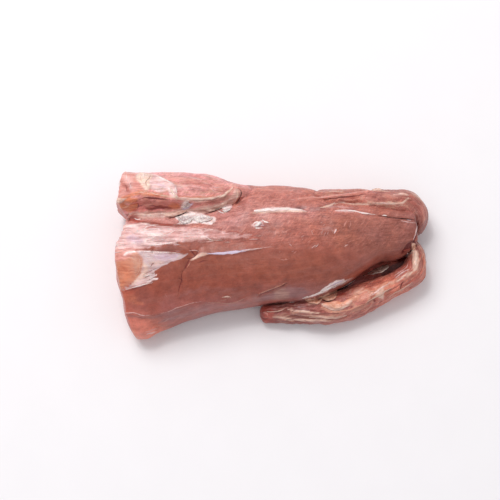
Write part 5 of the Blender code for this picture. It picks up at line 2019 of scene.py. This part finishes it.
def lean_tone(tones: Sequence[Tone], points: Array, number: Array) -> Array:
    """The lean meat's colour: the tones about each point, weighed by their nearness.

    Args:
        tones: all the tones.
        points: rows of coordinates in mm.
        number: the muscle of each point.

    Returns:
        A linear colour for each point.
    """
    weights = [tone.weight(points, number) + 1e-4 for tone in tones]
    mixed = sum(w[:, None] * linear(*tone.screen) for w, tone in zip(weights, tones))
    return mixed / np.sum(weights, axis=0)[:, None]


class Canvas:
    """The meat's points, with what the marks laid on them."""

    FOLD_SIZE = (15.0, 1.7, 9.0)
    WANDER_SIZE = (3.4, 2.2, 3.0)

    # How far up the skin faces where a fine line may show, and where one or a mark is whole
    LEAST_TILT = 0.08
    LINE_TILT = (0.12, 0.35)
    MARK_TILT = (0.1, 0.35)

    # The part of a fold's height that lies below the skin
    FOLD_SINK = 0.35

    # The pale tissue on a crumpled skin's upturned crests, partly a painted highlight: how much, and
    # at which crests and tilts it begins
    CREST_COVER = 0.45
    CREST_RISE = (0.62, 0.95)
    CREST_TILT = (0.1, 0.4)

    def __init__(self, points: Array, normals: Array, number: Array, crest: Array) -> None:
        """Starts with lean meat whose crests bear pale tissue, partly a painted highlight."""
        self.points = points
        self.normals = normals
        self.number = number
        self.cover = self.CREST_COVER * smooth_step(*self.CREST_RISE, crest)
        self.cover *= smooth_step(*self.CREST_TILT, normals[:, 2])
        self.colour = np.tile(linear(*TAN.value.screen), (len(points), 1))
        self.gloss = np.full(len(points), TAN.value.gloss)
        self.push = np.zeros(len(points))
        blank = np.tile((0.0, Hair.FAR, 0.0), (len(points), 1))
        self.lines = [blank.copy() for _ in range(LINE_LAYERS)]
        self.tints = [np.zeros_like(blank) for _ in range(LINE_LAYERS)]
        wander = [layered_noise(points, self.WANDER_SIZE, 2, seed) for seed in (71, 81)]
        self.wander = np.stack([*wander, np.zeros(len(points))], axis=1)
        self.fold = (1.0 - np.abs(soft_noise(points + self.wander, self.FOLD_SIZE, 41))) ** 3

    def add(self, mark: Mark) -> None:
        """Draws a fine line where there is room for it, and lays every other mark."""
        if not (isinstance(mark, Hair) and self.draw(mark)):
            self.lay(mark)

    def draw(self, hair: Hair) -> bool:
        """Draws a line in the first layer that holds no other line within reach.

        A point holds its distance from the line, half the line's width, and its strength, which is
        below 0 where the line is a groove.

        Args:
            hair: the line.

        Returns:
            True if a layer had room for it.
        """
        near = hair.nearby(self.points)
        gap, half = hair.trace(self.points[near])
        allowed = self.normals[near, 2] > self.LEAST_TILT
        if hair.muscle:
            allowed &= self.number[near] == hair.muscle
        here = allowed & (np.abs(gap) < hair.width + hair.REACH)
        around = near[np.abs(gap) < hair.width + 2.0 * hair.REACH]
        strength = math.copysign(hair.strength, hair.height)
        for line, tint in zip(self.lines, self.tints):
            if (line[around, 1] > hair.FAR).any():
                continue
            faded = strength * smooth_step(*self.LINE_TILT, self.normals[near[here], 2])
            line[near[here]] = np.stack([gap[here], half[here], faded], axis=1)
            tint[near[here]] = linear(*hair.tissue.value.screen)
            self.push[near] += hair.height * hair.share(self.points[near]) * allowed
            return True
        return False

    def lay(self, mark: Mark) -> None:
        """Lays a mark over what is there, and moves the skin by its relief."""
        near = mark.nearby(self.points)
        share = mark.share(self.points[near] + mark.ragged * self.wander[near])
        share *= smooth_step(*self.MARK_TILT, self.normals[near, 2])
        if mark.muscle:
            share *= self.number[near] == mark.muscle
        folded = mark.folds * (self.fold[near] - self.FOLD_SINK)
        self.push[near] += mark.height * share + share * folded
        share = share * mark.strength
        kept = self.cover[near] * (1.0 - share)
        total = np.maximum(share + kept, 1e-6)
        look = mark.tissue.value
        mixed = share[:, None] * linear(*look.screen) + kept[:, None] * self.colour[near]
        self.colour[near] = mixed / total[:, None]
        self.gloss[near] = (share * look.gloss + kept * self.gloss[near]) / total
        self.cover[near] = share + kept


@dataclass(frozen=True)
class Meat:
    """The whole piece: its muscles joined in one skin, and what that skin shows."""

    muscles: tuple[Muscle, ...]
    tones: tuple[Tone, ...]
    marks: tuple[Mark, ...]
    wisps: tuple[Wisps, ...]
    finish: MeatFinish
    seam_spread: int = 2
    seam_passes: int = 3
    seam_depth: float = 0.4
    cut_screen: Screen = (184, 104, 94)

    # How much of a seam reaches the next points, and how far each pass moves it to their mean
    SEAM_REACH = 0.6
    SEAM_SOFTENED = 0.6

    # How far a valley (partly painted shade), a blotch and a drift of hue change red, green and
    # blue, and their sizes
    VALLEY = (0.16, 0.3, 0.3)
    VALLEY_CREST = (0.4, 0.1)
    BLOTCH = (0.05, 0.1, 0.12)
    BLOTCH_SIZE = 10.0
    HUE = (0.05, -0.03, -0.16)
    HUE_SIZE = 7.0

    # The head's cut: the direction along X where it begins and is whole, its place and its tone
    CUT_FACING = (-0.5, -0.8)
    CUT_END = -74.0
    CUT_SHARE = 0.8

    # How fibrous the main muscle's back and the strip are, and how much less so the near side is
    FIBROUS_BACK = 0.98
    FIBROUS_STRIP = 1.1
    SMOOTH_SIDE = (6.0, -4.0)
    SMOOTHED = 0.82

    # How far up the skin faces where slanting ticks begin and are whole
    TICKED_TILT = (0.15, 0.55)

    # How sinewy the strip, the main muscle and the others are
    SINEWY_STRIP = 0.3
    SINEWY_MAIN = 0.05
    SINEWY = 0.25

    # Where the skin is hidden from above or lies on the far side, and how sinewy it is there
    HIDDEN_TILT = (0.1, -0.4)
    HIDDEN_SIDE = (36.0, 42.0)
    SINEWY_HIDDEN = 0.5

    # Depths in mm where a hollow's painted shade begins and is darkest, and how dark it is
    HOLLOW = (0.35, 1.5)
    HOLLOW_SHADE = 0.6

    # How dark the cleft's painted shade is, how near its line and how low it darkens, the least
    # tilt and the strip's share
    CLEFT_SHADE = 0.2
    CLEFT_REACH = (9.0, 4.0)
    CLEFT_DEPTH = (17.0, 5.0)
    CLEFT_TILT = -0.2
    STRIP_SHADED = 0.25

    # The shallow start of the cleft, where hollows get little painted shade
    OPEN_END = (26.0, 14.0)
    OPEN_SIDE = (-18.0, -23.0)

    def build(self) -> bpy.types.Object:
        """Joins the muscles, softens their seams, rests them on the floor and dresses them.

        Returns:
            The finished piece.
        """
        group = bpy.data.collections.new("muscles_to_join")
        bpy.context.scene.collection.children.link(group)
        made = self.muscles[0].object(bpy.context.scene.collection)
        made.name = "pork_tenderloin"
        for muscle in self.muscles[1:]:
            muscle.object(group)
        union = dict(operation="UNION", operand_type="COLLECTION", solver="MANIFOLD")
        apply_modifier(made, "BOOLEAN", collection=group, **union)
        for piece in list(group.objects):
            bpy.data.objects.remove(piece, do_unlink=True)
        bpy.data.collections.remove(group)

        net = Net(made)
        number = read_attribute(made, "muscle")
        seam = (number < 0.5).astype(float)
        number = np.round(np.where(number < 0.5, net.largest(number), number))
        for _ in range(self.seam_spread):
            seam = np.maximum(seam, self.SEAM_REACH * net.largest(seam))
        points = mesh_points(made)
        for _ in range(self.seam_passes):
            points += seam[:, None] * self.SEAM_SOFTENED * (net.mean(points) - points)
        move_points(made, points)

        crest = np.where(number < 0.5, 0.5, read_attribute(made, "crest"))
        canvas = Canvas(points, point_normals(made), number, crest)
        for mark in self.marks:
            canvas.add(mark)
        for patch in self.wisps:
            for hair in patch.hairs():
                canvas.draw(hair)
        push = canvas.push - self.seam_depth * net.smooth(seam, 2)
        points = points + canvas.normals * push[:, None]
        points = kept_inside(points)
        move_points(made, points)
        self.paint(made, net, canvas, points, crest)
        made.data.shade_smooth()
        made.data.materials.clear()
        made.data.materials.append(self.finish.material())
        return made

    def paint(
        self, made: bpy.types.Object, net: Net, canvas: Canvas, points: Array, crest: Array
    ) -> None:
        """Stores on every point its tone, its tissues, where it is fibrous or cut, and its painted shade.

        Args:
            made: the joined meat.
            net: its edges.
            canvas: what the marks laid on it.
            points: its points in mm.
            crest: how far each point stands up in a crumpled skin, from 0 to 1.
        """
        normals = point_normals(made)
        cut = smooth_step(*self.CUT_FACING, normals[:, 0]) * (points[:, 0] < self.CUT_END)
        write_attribute(made, "cut", cut)
        write_attribute(made, "tone", self.tone(net, canvas, points, crest, cut))
        write_attribute(made, "tissue", canvas.colour)
        write_attribute(made, "cover", canvas.cover)
        write_attribute(made, "gloss", canvas.gloss)
        for layer, (line, tint) in enumerate(zip(canvas.lines, canvas.tints)):
            write_attribute(made, f"line_{layer}", line)
            write_attribute(made, f"line_{layer}_tint", tint)

        whose = canvas.number
        y = points[:, 1]
        smooth_side = smooth_step(*self.SMOOTH_SIDE, y) * (whose == Part.MAIN)
        fibrous = np.where(whose == Part.MAIN, self.FIBROUS_BACK - self.SMOOTHED * smooth_side, 1.0)
        fibrous = np.where(whose >= Part.STRIP, self.FIBROUS_STRIP, fibrous)
        fibrous = net.smooth(fibrous, 4) * (1.0 - cut)
        write_attribute(made, "fibrous", fibrous)
        write_attribute(made, "ticked", fibrous * smooth_step(*self.TICKED_TILT, normals[:, 2]))

        sinewy = np.where(whose == Part.MAIN, self.SINEWY_MAIN, self.SINEWY)
        sinewy = np.where(whose == Part.STRIP, self.SINEWY_STRIP, sinewy)
        turned_away = smooth_step(*self.HIDDEN_TILT, normals[:, 2])
        hidden = np.maximum(turned_away, smooth_step(*self.HIDDEN_SIDE, y))
        sinewy = net.smooth(np.maximum(sinewy, self.SINEWY_HIDDEN * hidden), 3) * (1.0 - cut)
        write_attribute(made, "sinewy", sinewy)
        write_attribute(made, "shade", self.shade(net, whose, points, normals))

    def tone(self, net: Net, canvas: Canvas, points: Array, crest: Array, cut: Array) -> Array:
        """The lean's colour, blotched, and darker and redder in a crumpled skin's valleys, partly painted
        shade.

        Args:
            net: the meat's edges.
            canvas: the meat's points and muscles.
            points: its points in mm, as they lie at last.
            crest: how far each point stands up, from 0 to 1.
            cut: where the head's cut is, from 0 to 1.

        Returns:
            A linear colour for each point.
        """
        tone = net.smooth(lean_tone(self.tones, points, canvas.number), 14)
        valley = smooth_step(*self.VALLEY_CREST, crest)[:, None] * self.VALLEY
        blotch = layered_noise(points, self.BLOTCH_SIZE, 3, 91)[:, None] * self.BLOTCH
        hue = layered_noise(points, self.HUE_SIZE, 3, 92)[:, None] * self.HUE
        tone += self.CUT_SHARE * cut[:, None] * (linear(*self.cut_screen) - tone)
        valley = valley * (1.0 - cut[:, None])
        return tone * (1.0 - valley) * (1.0 + blotch + hue)

    def shade(self, net: Net, whose: Array, points: Array, normals: Array) -> Array:
        """Painted shade in hollows, below the mean of the skin about them, and low in the cleft.

        Args:
            net: the meat's edges.
            whose: the muscle of each point.
            points: its points in mm.
            normals: its directions.

        Returns:
            A number from 0 to 1 for each point.
        """
        x, y, z = points.T
        hollow = ((net.smooth(points, 14) - points) * normals).sum(axis=1)
        shallow = smooth_step(*self.OPEN_END, x) * smooth_step(*self.OPEN_SIDE, y)
        shade = self.HOLLOW_SHADE * smooth_step(*self.HOLLOW, hollow) * (1.0 - shallow)
        cleft = smooth_step(*self.CLEFT_REACH, line_distance(points, CLEFT))
        cleft *= smooth_step(*self.CLEFT_DEPTH, z)
        share = np.where(whose == Part.STRIP, self.STRIP_SHADED, 1.0)
        cleft *= self.CLEFT_SHADE * (normals[:, 2] > self.CLEFT_TILT) * share
        return np.maximum(shade, cleft)


# What lies on the meat


@dataclass(frozen=True)
class SkinFinish:
    """A thin moist tissue, in streaks of two colours as they are read off a screen."""

    name: str
    pale: Screen
    deep: Screen
    roughness: float
    coat: float
    streaks: Pair = (90.0, 900.0)
    grit: float = 0.0003
    clouds: float = 500.0
    coat_roughness: float = 0.16
    under_skin: float = 0.15
    under_skin_reach: float = 0.002
    under_skin_spread: Triple = (1.0, 0.5, 0.4)

    def material(self) -> bpy.types.Material:
        """The material, whose streaks follow the grain."""
        graph = Graph(self.name)
        streak = graph.fibres(graph.grain(), self.streaks, 4.0, 0.6)
        cloud = graph.noise(graph.place(), self.clouds, 4.0, 0.6)
        share = graph.step(streak * 0.5 + cloud * 0.5, 0.36, 0.6)
        share = share * (graph.number("thickness") * 0.6 + 0.4)
        graph.relief((streak - 0.5) * self.grit + (cloud - 0.5) * self.grit)
        graph.surface(
            Base_Color=graph.mix(share, linear(*self.deep), linear(*self.pale)),
            Roughness=self.roughness + (cloud - 0.5) * 0.2,
            Coat_Weight=self.coat,
            Coat_Roughness=self.coat_roughness,
            Subsurface_Weight=self.under_skin,
            Subsurface_Radius=self.under_skin_spread,
            Subsurface_Scale=self.under_skin_reach,
            IOR=MOIST_IOR,
        )
        return graph.material


CREAM_TISSUE = SkinFinish("cream_tissue", (232, 196, 180), (182, 128, 116), 0.42, 0.25)
WHITE_TISSUE = SkinFinish("white_tissue", (250, 238, 234), (204, 172, 168), 0.28, 0.5)
PEACH_TISSUE = SkinFinish("peach_tissue", (242, 190, 164), (204, 130, 106), 0.38, 0.35)
# The crinkled tissue's deep colour, between its folds, is partly painted shade in the creases.
CRINKLED_TISSUE = SkinFinish(
    "crinkled_tissue", (250, 238, 232), (178, 146, 148), 0.26, 0.6, (220.0, 700.0), 0.0007
)
# The cleft tissue's colours are raised, painted light against the shade deep in the cleft.
CLEFT_TISSUE = SkinFinish(
    "cleft_tissue", (234, 212, 198), (142, 110, 98), 0.3, 0.5, (60.0, 1600.0)
)


class Ground:
    """The finished meat as the ground that other pieces lie on."""

    # A height in mm over all of the meat
    HIGH = 60.0

    def __init__(self, meat: bpy.types.Object) -> None:
        """Keeps the meat."""
        self.meat = meat

    def heights(self, plan: Array) -> Array:
        """The height of the meat under places in plan, found by projecting them straight down.

        Args:
            plan: two coordinates for each place.

        Returns:
            One height in mm for each place, or 0 beside the meat.
        """
        probe = mesh_object("probe", with_third(plan.reshape(-1, 2), self.HIGH), [])
        down = dict(use_negative_direction=True, use_positive_direction=False)
        settings = dict(wrap_method="PROJECT", use_project_z=True, **down)
        apply_modifier(probe, "SHRINKWRAP", target=self.meat, **settings)
        found = mesh_points(probe)[:, 2]
        bpy.data.objects.remove(probe, do_unlink=True)
        return np.where(found > self.HIGH - 1.0, 0.0, found).reshape(plan.shape[:-1])


@dataclass
class Shells:
    """Closed thin shells gathered into one mesh."""

    name: str
    finish: SkinFinish

    # How far a shell's grain is moved along and across, in mm, for each point that is there before
    GRAIN_STEP = (0.37, 0.61)

    def __post_init__(self) -> None:
        """Starts with nothing gathered."""
        self.points: list[Array] = []
        self.faces: list[Array] = []
        self.grain: list[Array] = []
        self.thickness: list[Array] = []
        self.count = 0

    def add(self, top: Array, bottom: Array, size: Pair, thickness: Array) -> None:
        """Adds a shell between two grids of points that run the same way.

        Args:
            top: the upper grid, in mm.
            bottom: the lower grid.
            size: its length and width in mm, for the grain.
            thickness: how opaque the tissue is at each place, from 0 to 1.
        """
        rows, columns = top.shape[:2]
        numbers = np.arange(rows * columns).reshape(rows, columns)
        corners = [numbers[:-1, :-1], numbers[1:, :-1], numbers[1:, 1:], numbers[:-1, 1:]]
        upper = np.stack(corners, axis=2).reshape(-1, 4)
        sides = (numbers[:-1, 0], numbers[-1, :-1], numbers[:0:-1, -1], numbers[0, :0:-1])
        rim = np.concatenate(sides)
        after = np.roll(rim, -1)
        below = rows * columns
        side = np.stack([rim, rim + below, after + below, after], axis=1)
        faces = np.concatenate([upper, upper[:, ::-1] + below, side])
        middle = len(top) // 2
        across = top[middle, -1, :2] - top[middle, 0, :2]
        along = top[middle, 0, :2] - top[middle - 1, 0, :2]
        if along[0] * across[1] - along[1] * across[0] < 0.0:
            faces = faces[:, ::-1]
        run_start, breadth_start = (self.count * step for step in self.GRAIN_STEP)
        run = np.linspace(0.0, size[0], rows)[:, None] + run_start
        breadth = np.linspace(0.0, size[1], columns)[None, :] + breadth_start
        grain = np.stack(np.broadcast_arrays(run, breadth), axis=2).reshape(-1, 2)
        self.points.append(np.concatenate([top.reshape(-1, 3), bottom.reshape(-1, 3)]))
        self.faces.append(faces + self.count)
        self.grain.append(np.concatenate([grain, grain]))
        self.thickness.append(np.concatenate([thickness.ravel(), thickness.ravel()]))
        self.count += 2 * below

    def build(self) -> bpy.types.Object:
        """Makes the mesh, which rides with the meat's solid and stands for it."""
        faces = np.concatenate(self.faces)
        points = kept_inside(np.concatenate(self.points))
        made = mesh_object(self.name, points, faces.tolist())
        write_grain(made, np.concatenate(self.grain)[faces.ravel()])
        write_attribute(made, "thickness", np.concatenate(self.thickness))
        made.data.materials.append(self.finish.material())
        claim(made)
        return made


@dataclass(frozen=True)
class Film:
    """A thin sheet on the meat between a held edge and a free one, which meet at both ends.

    Its height over the meat is lift times w to the curl, plus folds of (1 - |noise|) squared. As
    far as it is taut, it runs straight from edge to edge instead of following the meat.
    """

    held_edge: Line
    free_edge: Line
    lift: float
    fold: float
    fold_size: Pair = (5.0, 1.6)
    ragged: float = 0.7
    thickness: float = 0.28
    curl: float = 1.6
    taut: float = 0.0
    seed: int = 1

    SPACING = 0.42

    # How wide the sheet is where its edges meet, as a share of its width
    END_SHARE = 0.04

    # The sizes of the free edge's tears and of the folds' bends, and how far those reach, in mm
    TORN_SIZE = 2.4
    BEND_SIZE = 3.0
    BEND_REACH = (0.9, 0.9, 0.0)

    # Heights in mm: how far the held edge and the ends sink, the lowest fold, and the gap below
    SINK = 0.3
    LOWEST = -0.1
    CLEARANCE = 0.06

    # The part of a fold's height that lies below the sheet
    FOLD_SINK = 0.3

    # How much thinner the free edge is, and how thick the ends are, as shares of the thickness
    EDGE_THINNED = 0.9
    END_THICKNESS = 0.2

    # How opaque the sheet is, and how much more so in a fold and at the free edge
    OPAQUE = 0.35
    OPAQUE_FOLD = 0.65
    OPAQUE_EDGE = 0.5

    def lay(self, ground: Ground, shells: Shells) -> None:
        """Adds the sheet to the shells, its reach times 1 - |2s - 1|^4 along its length."""
        length = leg_lengths(np.array(self.held_edge, float)).sum()
        rows = max(int(length / self.SPACING), 8)
        held = even_line(self.held_edge, rows)
        free = even_line(self.free_edge, rows)
        width = np.linalg.norm(free - held, axis=1).mean()
        columns = max(int(width / self.SPACING), 6)
        w = np.linspace(0.0, 1.0, columns)[None, :]
        s = np.linspace(0.0, 1.0, rows)[:, None]
        reach = 1.0 - np.abs(2.0 * s - 1.0) ** 4
        spots = with_third(free, self.third())
        torn = self.ragged * layered_noise(spots, self.TORN_SIZE, 3, self.seed)[:, None]
        whole = reach * (1.0 + torn / max(width, 1.0))
        share = (self.END_SHARE + (1.0 - self.END_SHARE) * whole) * w
        plan = held[:, None] + (free - held)[:, None] * share[..., None]
        grain = np.stack(np.broadcast_arrays(s * length, w * width, float(self.seed)), axis=2)
        creased = self.creases(plan, grain)
        base = ground.heights(plan)
        straight = base[:, :1] * (1.0 - w) + base[:, -1:] * w
        top = base + self.taut * (straight - base) + self.CLEARANCE + self.rise(w, reach, creased)
        thick = self.thickness * np.sqrt(np.clip(1.0 - self.EDGE_THINNED * w**4, 0.0, 1.0))
        thick = thick * (self.END_THICKNESS + (1.0 - self.END_THICKNESS) * reach)
        opaque = self.OPAQUE + self.OPAQUE_FOLD * creased + self.OPAQUE_EDGE * w**6
        opaque = np.clip(opaque, 0.0, 1.0)
        shells.add(np.dstack([plan, top]), np.dstack([plan, top - thick]), (length, width), opaque)

    def third(self) -> float:
        """The third coordinate at which noise is read, so that no two sheets are torn alike."""
        return 3.0 * self.seed

    def creases(self, plan: Array, grain: Array) -> Array:
        """How sharply the sheet is folded: 1 minus |noise|, squared.

        Args:
            plan: the sheet's places in plan.
            grain: mm along and across, and a third number that is the same for all.

        Returns:
            A number from 0 to 1 for each place.
        """
        bends = soft_noise(with_third(plan, self.third()), self.BEND_SIZE, self.seed + 5)
        bent = grain + bends[..., None] * self.BEND_REACH
        return (1.0 - np.abs(layered_noise(bent, (*self.fold_size, 1.0), 2, self.seed))) ** 2

    def rise(self, w: Array, reach: Array, creased: Array) -> Array:
        """How far the sheet stands up from the meat: its lift and its folds, sunk at its edges.

        Args:
            w: from 0 at the held edge to 1 at the free one.
            reach: from 0 at the two ends to 1 midway.
            creased: how sharply it is folded.

        Returns:
            The rise in mm.
        """
        folds = self.fold * (creased - self.FOLD_SINK) * reach * np.sqrt(w)
        rise = np.maximum(self.lift * w**self.curl * reach + folds, self.LOWEST)
        return rise - self.SINK * (1.0 - w) ** 3 - self.SINK * (1.0 - reach)


@dataclass(frozen=True)
class Dressing:
    """Films of one tissue, which make one piece."""

    name: str
    finish: SkinFinish
    films: tuple[Film, ...]

    def build(self, ground: Ground) -> bpy.types.Object:
        """Lays the films on the meat and makes the piece."""
        shells = Shells(self.name, self.finish)
        for film in self.films:
            film.lay(ground, shells)
        return shells.build()


DRESSINGS = (
    Dressing("flap_hem", CREAM_TISSUE, (
        Film(
            ((-60, 19.4), (-56, 20.4), (-51, 21.2), (-46, 22)),
            ((-59, 16.6), (-55, 17), (-50.6, 18.6), (-45.4, 19.8)),
            0.8, 0.5, seed=3,
        ),
        Film(
            ((-38, 22), (-33, 23), (-28, 24.8), (-24, 27.4)),
            ((-37.6, 19.6), (-33, 20.4), (-28.4, 22.4), (-23.4, 24.8)),
            0.8, 0.5, seed=5,
        ),
    )),
    Dressing("crinkled_membrane", CRINKLED_TISSUE, (
        Film(
            ((-52.5, 18.4), (-49, 18.8), (-45, 18), (-42, 17.8)),
            ((-51, 14.4), (-48.6, 13.6), (-46, 14), (-43, 14.4)),
            0.5, 1.5, fold_size=(2.6, 1), seed=7,
        ),
        Film(
            ((-44, 18), (-40, 18.8), (-36, 18.6), (-32, 17)),
            ((-43.6, 14.8), (-40, 14), (-36, 14.6), (-31.6, 14)),
            0.4, 1.5, fold_size=(2.6, 1), seed=8,
        ),
        Film(
            ((-50, 22), (-48.4, 23.4), (-46.6, 25)),
            ((-46.4, 22.2), (-45, 23), (-43.8, 24.2)),
            0.6, 0.5, seed=12,
        ),
        Film(
            ((-28, 21.8), (-25.6, 23), (-23, 23.8)),
            ((-27, 19.8), (-24.6, 20.8), (-22, 22.2)),
            0.5, 0.5, seed=13,
        ),
        Film(
            ((-11, 11), (-9, 13), (-7, 14.6)),
            ((-8.4, 10.4), (-6.8, 11.6), (-5.4, 13)),
            0.6, 0.6, fold_size=(2, 1.2), seed=14,
        ),
    )),
    Dressing("near_edge_film", WHITE_TISSUE, (
        Film(
            ((21, -23.4), (26.5, -21.2), (32, -18.4), (37, -16), (42, -13.6)),
            ((21, -24.2), (26.5, -22.2), (32, -19.8), (37, -17.4), (42, -15)),
            0.25, 0.25, fold_size=(9, 1.8), ragged=0.4, seed=36,
        ),
    )),
    Dressing("fat_flecks", CREAM_TISSUE, (
        Film(
            ((-85, 27), (-82, 26.6), (-78.5, 26.8)),
            ((-85.5, 24.6), (-82, 24.2), (-79, 25.2)),
            0.4, 0.5, seed=63,
        ),
        Film(
            ((53, 33), (56, 33.8), (60, 34)),
            ((54, 35.2), (57, 36.4), (60.4, 35.8)),
            2.4, 0.5, fold_size=(2.6, 1.2), seed=64,
        ),
    )),
    Dressing("peach_films", PEACH_TISSUE, (
        Film(
            ((16.6, -24.8), (20.5, -23.6), (24, -23.4), (27.4, -24)),
            ((17.6, -25.6), (21.4, -27.4), (25, -27.4), (27.8, -25.6)),
            0.6, 0.5, fold_size=(4, 1.6), seed=71,
        ),
        Film(
            ((23.6, -23.4), (28, -21.8), (32, -20.2), (36, -18.6)),
            ((26.4, -24.2), (29.6, -25.8), (33, -24.8), (36.6, -20.8)),
            0.7, 0.5, fold_size=(4, 1.6), seed=72,
        ),
        Film(
            ((30, -27), (34, -27.6), (38, -27)),
            ((31, -29.4), (34.6, -30.4), (38.6, -29.6)),
            0.5, 0.4, fold_size=(3, 1.4), seed=65,
        ),
        Film(
            ((75, 5.4), (76.8, 5.2), (78.5, 4.5)),
            ((75, 1.6), (76.6, 1.4), (78.2, 1.8)),
            0.3, 0.4, seed=73,
        ),
    )),
    Dressing("cleft_membrane", CLEFT_TISSUE, (
        Film(
            ((49.6, -10), (54, -7.2), (58, -5), (62, -3.4), (65.5, -3.2)),
            ((51.4, -11.4), (55.4, -10.6), (59.4, -9.4), (63, -7.8), (66.4, -5.4)),
            8, 0.9, fold_size=(9, 0.8), curl=1, taut=1, seed=81,
        ),
    )),
)


# The studio


@dataclass(frozen=True)
class Lamp:
    """A round lamp that faces the origin: its place and diameter in metres, its power in watts."""

    name: str
    place: Triple
    size: float
    power: float
    colour: Triple = (1.0, 0.985, 0.97)

    def hang(self) -> None:
        """Hangs the lamp in the scene."""
        lamp = bpy.data.lights.new(self.name, "AREA")
        lamp.shape = "DISK"
        lamp.size = self.size
        lamp.energy = self.power
        lamp.color = self.colour
        held = bpy.data.objects.new(self.name, lamp)
        held.location = self.place
        x, y, z = self.place
        held.rotation_euler = (math.atan2(math.hypot(x, y), z), 0.0, math.atan2(x, -y))
        bpy.context.scene.collection.objects.link(held)


@dataclass(frozen=True)
class Studio:
    """The pale floor, the soft light and the camera.

    The lens, the distance, the aim, the floor's drop below the meat and the nearest that the
    camera sees are in mm, and the floor's size is in metres.
    """

    lens: float = 91.44
    sensor: float = 36.0
    elevation: float = 78.0
    distance: float = 715.0
    aim: Triple = (-12.9, 6.35, 0.0)
    nearest: float = 50.0
    floor_size: float = 6.0
    floor_drop: float = 0.05
    floor_screen: Screen = (242, 240, 243)
    floor_shade: float = 0.97
    floor_roughness: float = 0.75
    surround: tuple[float, float, float, float] = (1.0, 0.99, 1.0, 1.0)
    surround_strength: float = 0.62
    lamps: tuple[Lamp, ...] = (
        Lamp("key_light", (-0.4, 0.62, 1.15), 0.8, 10.6),
        Lamp("glint_light", (-0.28, 0.5, 1.2), 0.13, 1.5),
    )

    def build(self) -> None:
        """Makes the floor, the lights and the camera."""
        self.light()
        self.lay_floor()
        self.aim_camera()
        bpy.context.scene.view_settings.view_transform = "Standard"

    def light(self) -> None:
        """A white surround, a large soft light from the far left and a small one for wet glints."""
        world = bpy.data.worlds.new("studio")
        world.use_nodes = True
        back = world.node_tree.nodes["Background"]
        back.inputs["Color"].default_value = self.surround
        back.inputs["Strength"].default_value = self.surround_strength
        bpy.context.scene.world = world
        for lamp in self.lamps:
            lamp.hang()

    def lay_floor(self) -> None:
        """A flat pale floor, just under the meat."""
        half = 0.5 * self.floor_size / METRES_PER_MM
        corners = np.array([[-half, -half, 0], [half, -half, 0], [half, half, 0], [-half, half, 0]])
        corners = corners - (0.0, 0.0, self.floor_drop)
        floor = mesh_object("studio_floor", corners, [[0, 1, 2, 3]])
        graph = Graph("studio_floor")
        grain = graph.noise(graph.place(), 40.0, 2.0, 0.5)
        shade = tuple(self.floor_shade * part for part in linear(*self.floor_screen))
        colour = graph.mix(grain, linear(*self.floor_screen), shade)
        graph.surface(Base_Color=colour, Roughness=self.floor_roughness)
        floor.data.materials.append(graph.material)

    def aim_camera(self) -> None:
        """The camera at the photograph's angle, above the near side."""
        angle = math.radians(self.elevation)
        back = np.array([0.0, -math.cos(angle), math.sin(angle)])
        lens = bpy.data.cameras.new("camera")
        lens.lens = self.lens
        lens.sensor_width = self.sensor
        lens.clip_start = self.nearest * METRES_PER_MM
        held = bpy.data.objects.new("camera", lens)
        held.location = (np.array(self.aim) + self.distance * back) * METRES_PER_MM
        held.rotation_euler = (math.radians(90.0 - self.elevation), 0.0, 0.0)
        bpy.context.scene.collection.objects.link(held)
        bpy.context.scene.camera = held


def main() -> None:
    """Builds the tenderloin and its studio, and says what each piece is."""
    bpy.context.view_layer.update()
    strip = tuple(replace(mark, muscle=Part.STRIP) for mark in STRIP_MARKS)
    marks = FLAP_MARKS + BAND_MARKS + NECK_MARKS + BACK_MARKS + NEAR_MARKS + strip + CLEFT_MARKS
    whole = Meat(MUSCLES, TONES, marks, WISPS, MeatFinish()).build()
    claim(whole)
    LOG.info("%s: %d points", whole.name, len(whole.data.vertices))
    ground = Ground(whole)
    for dressing in DRESSINGS:
        piece = dressing.build(ground)
        LOG.info("%s: %d points", piece.name, len(piece.data.vertices))
    Studio().build()


if __name__ == "__main__":
    logging.basicConfig(level=logging.INFO)
    main()
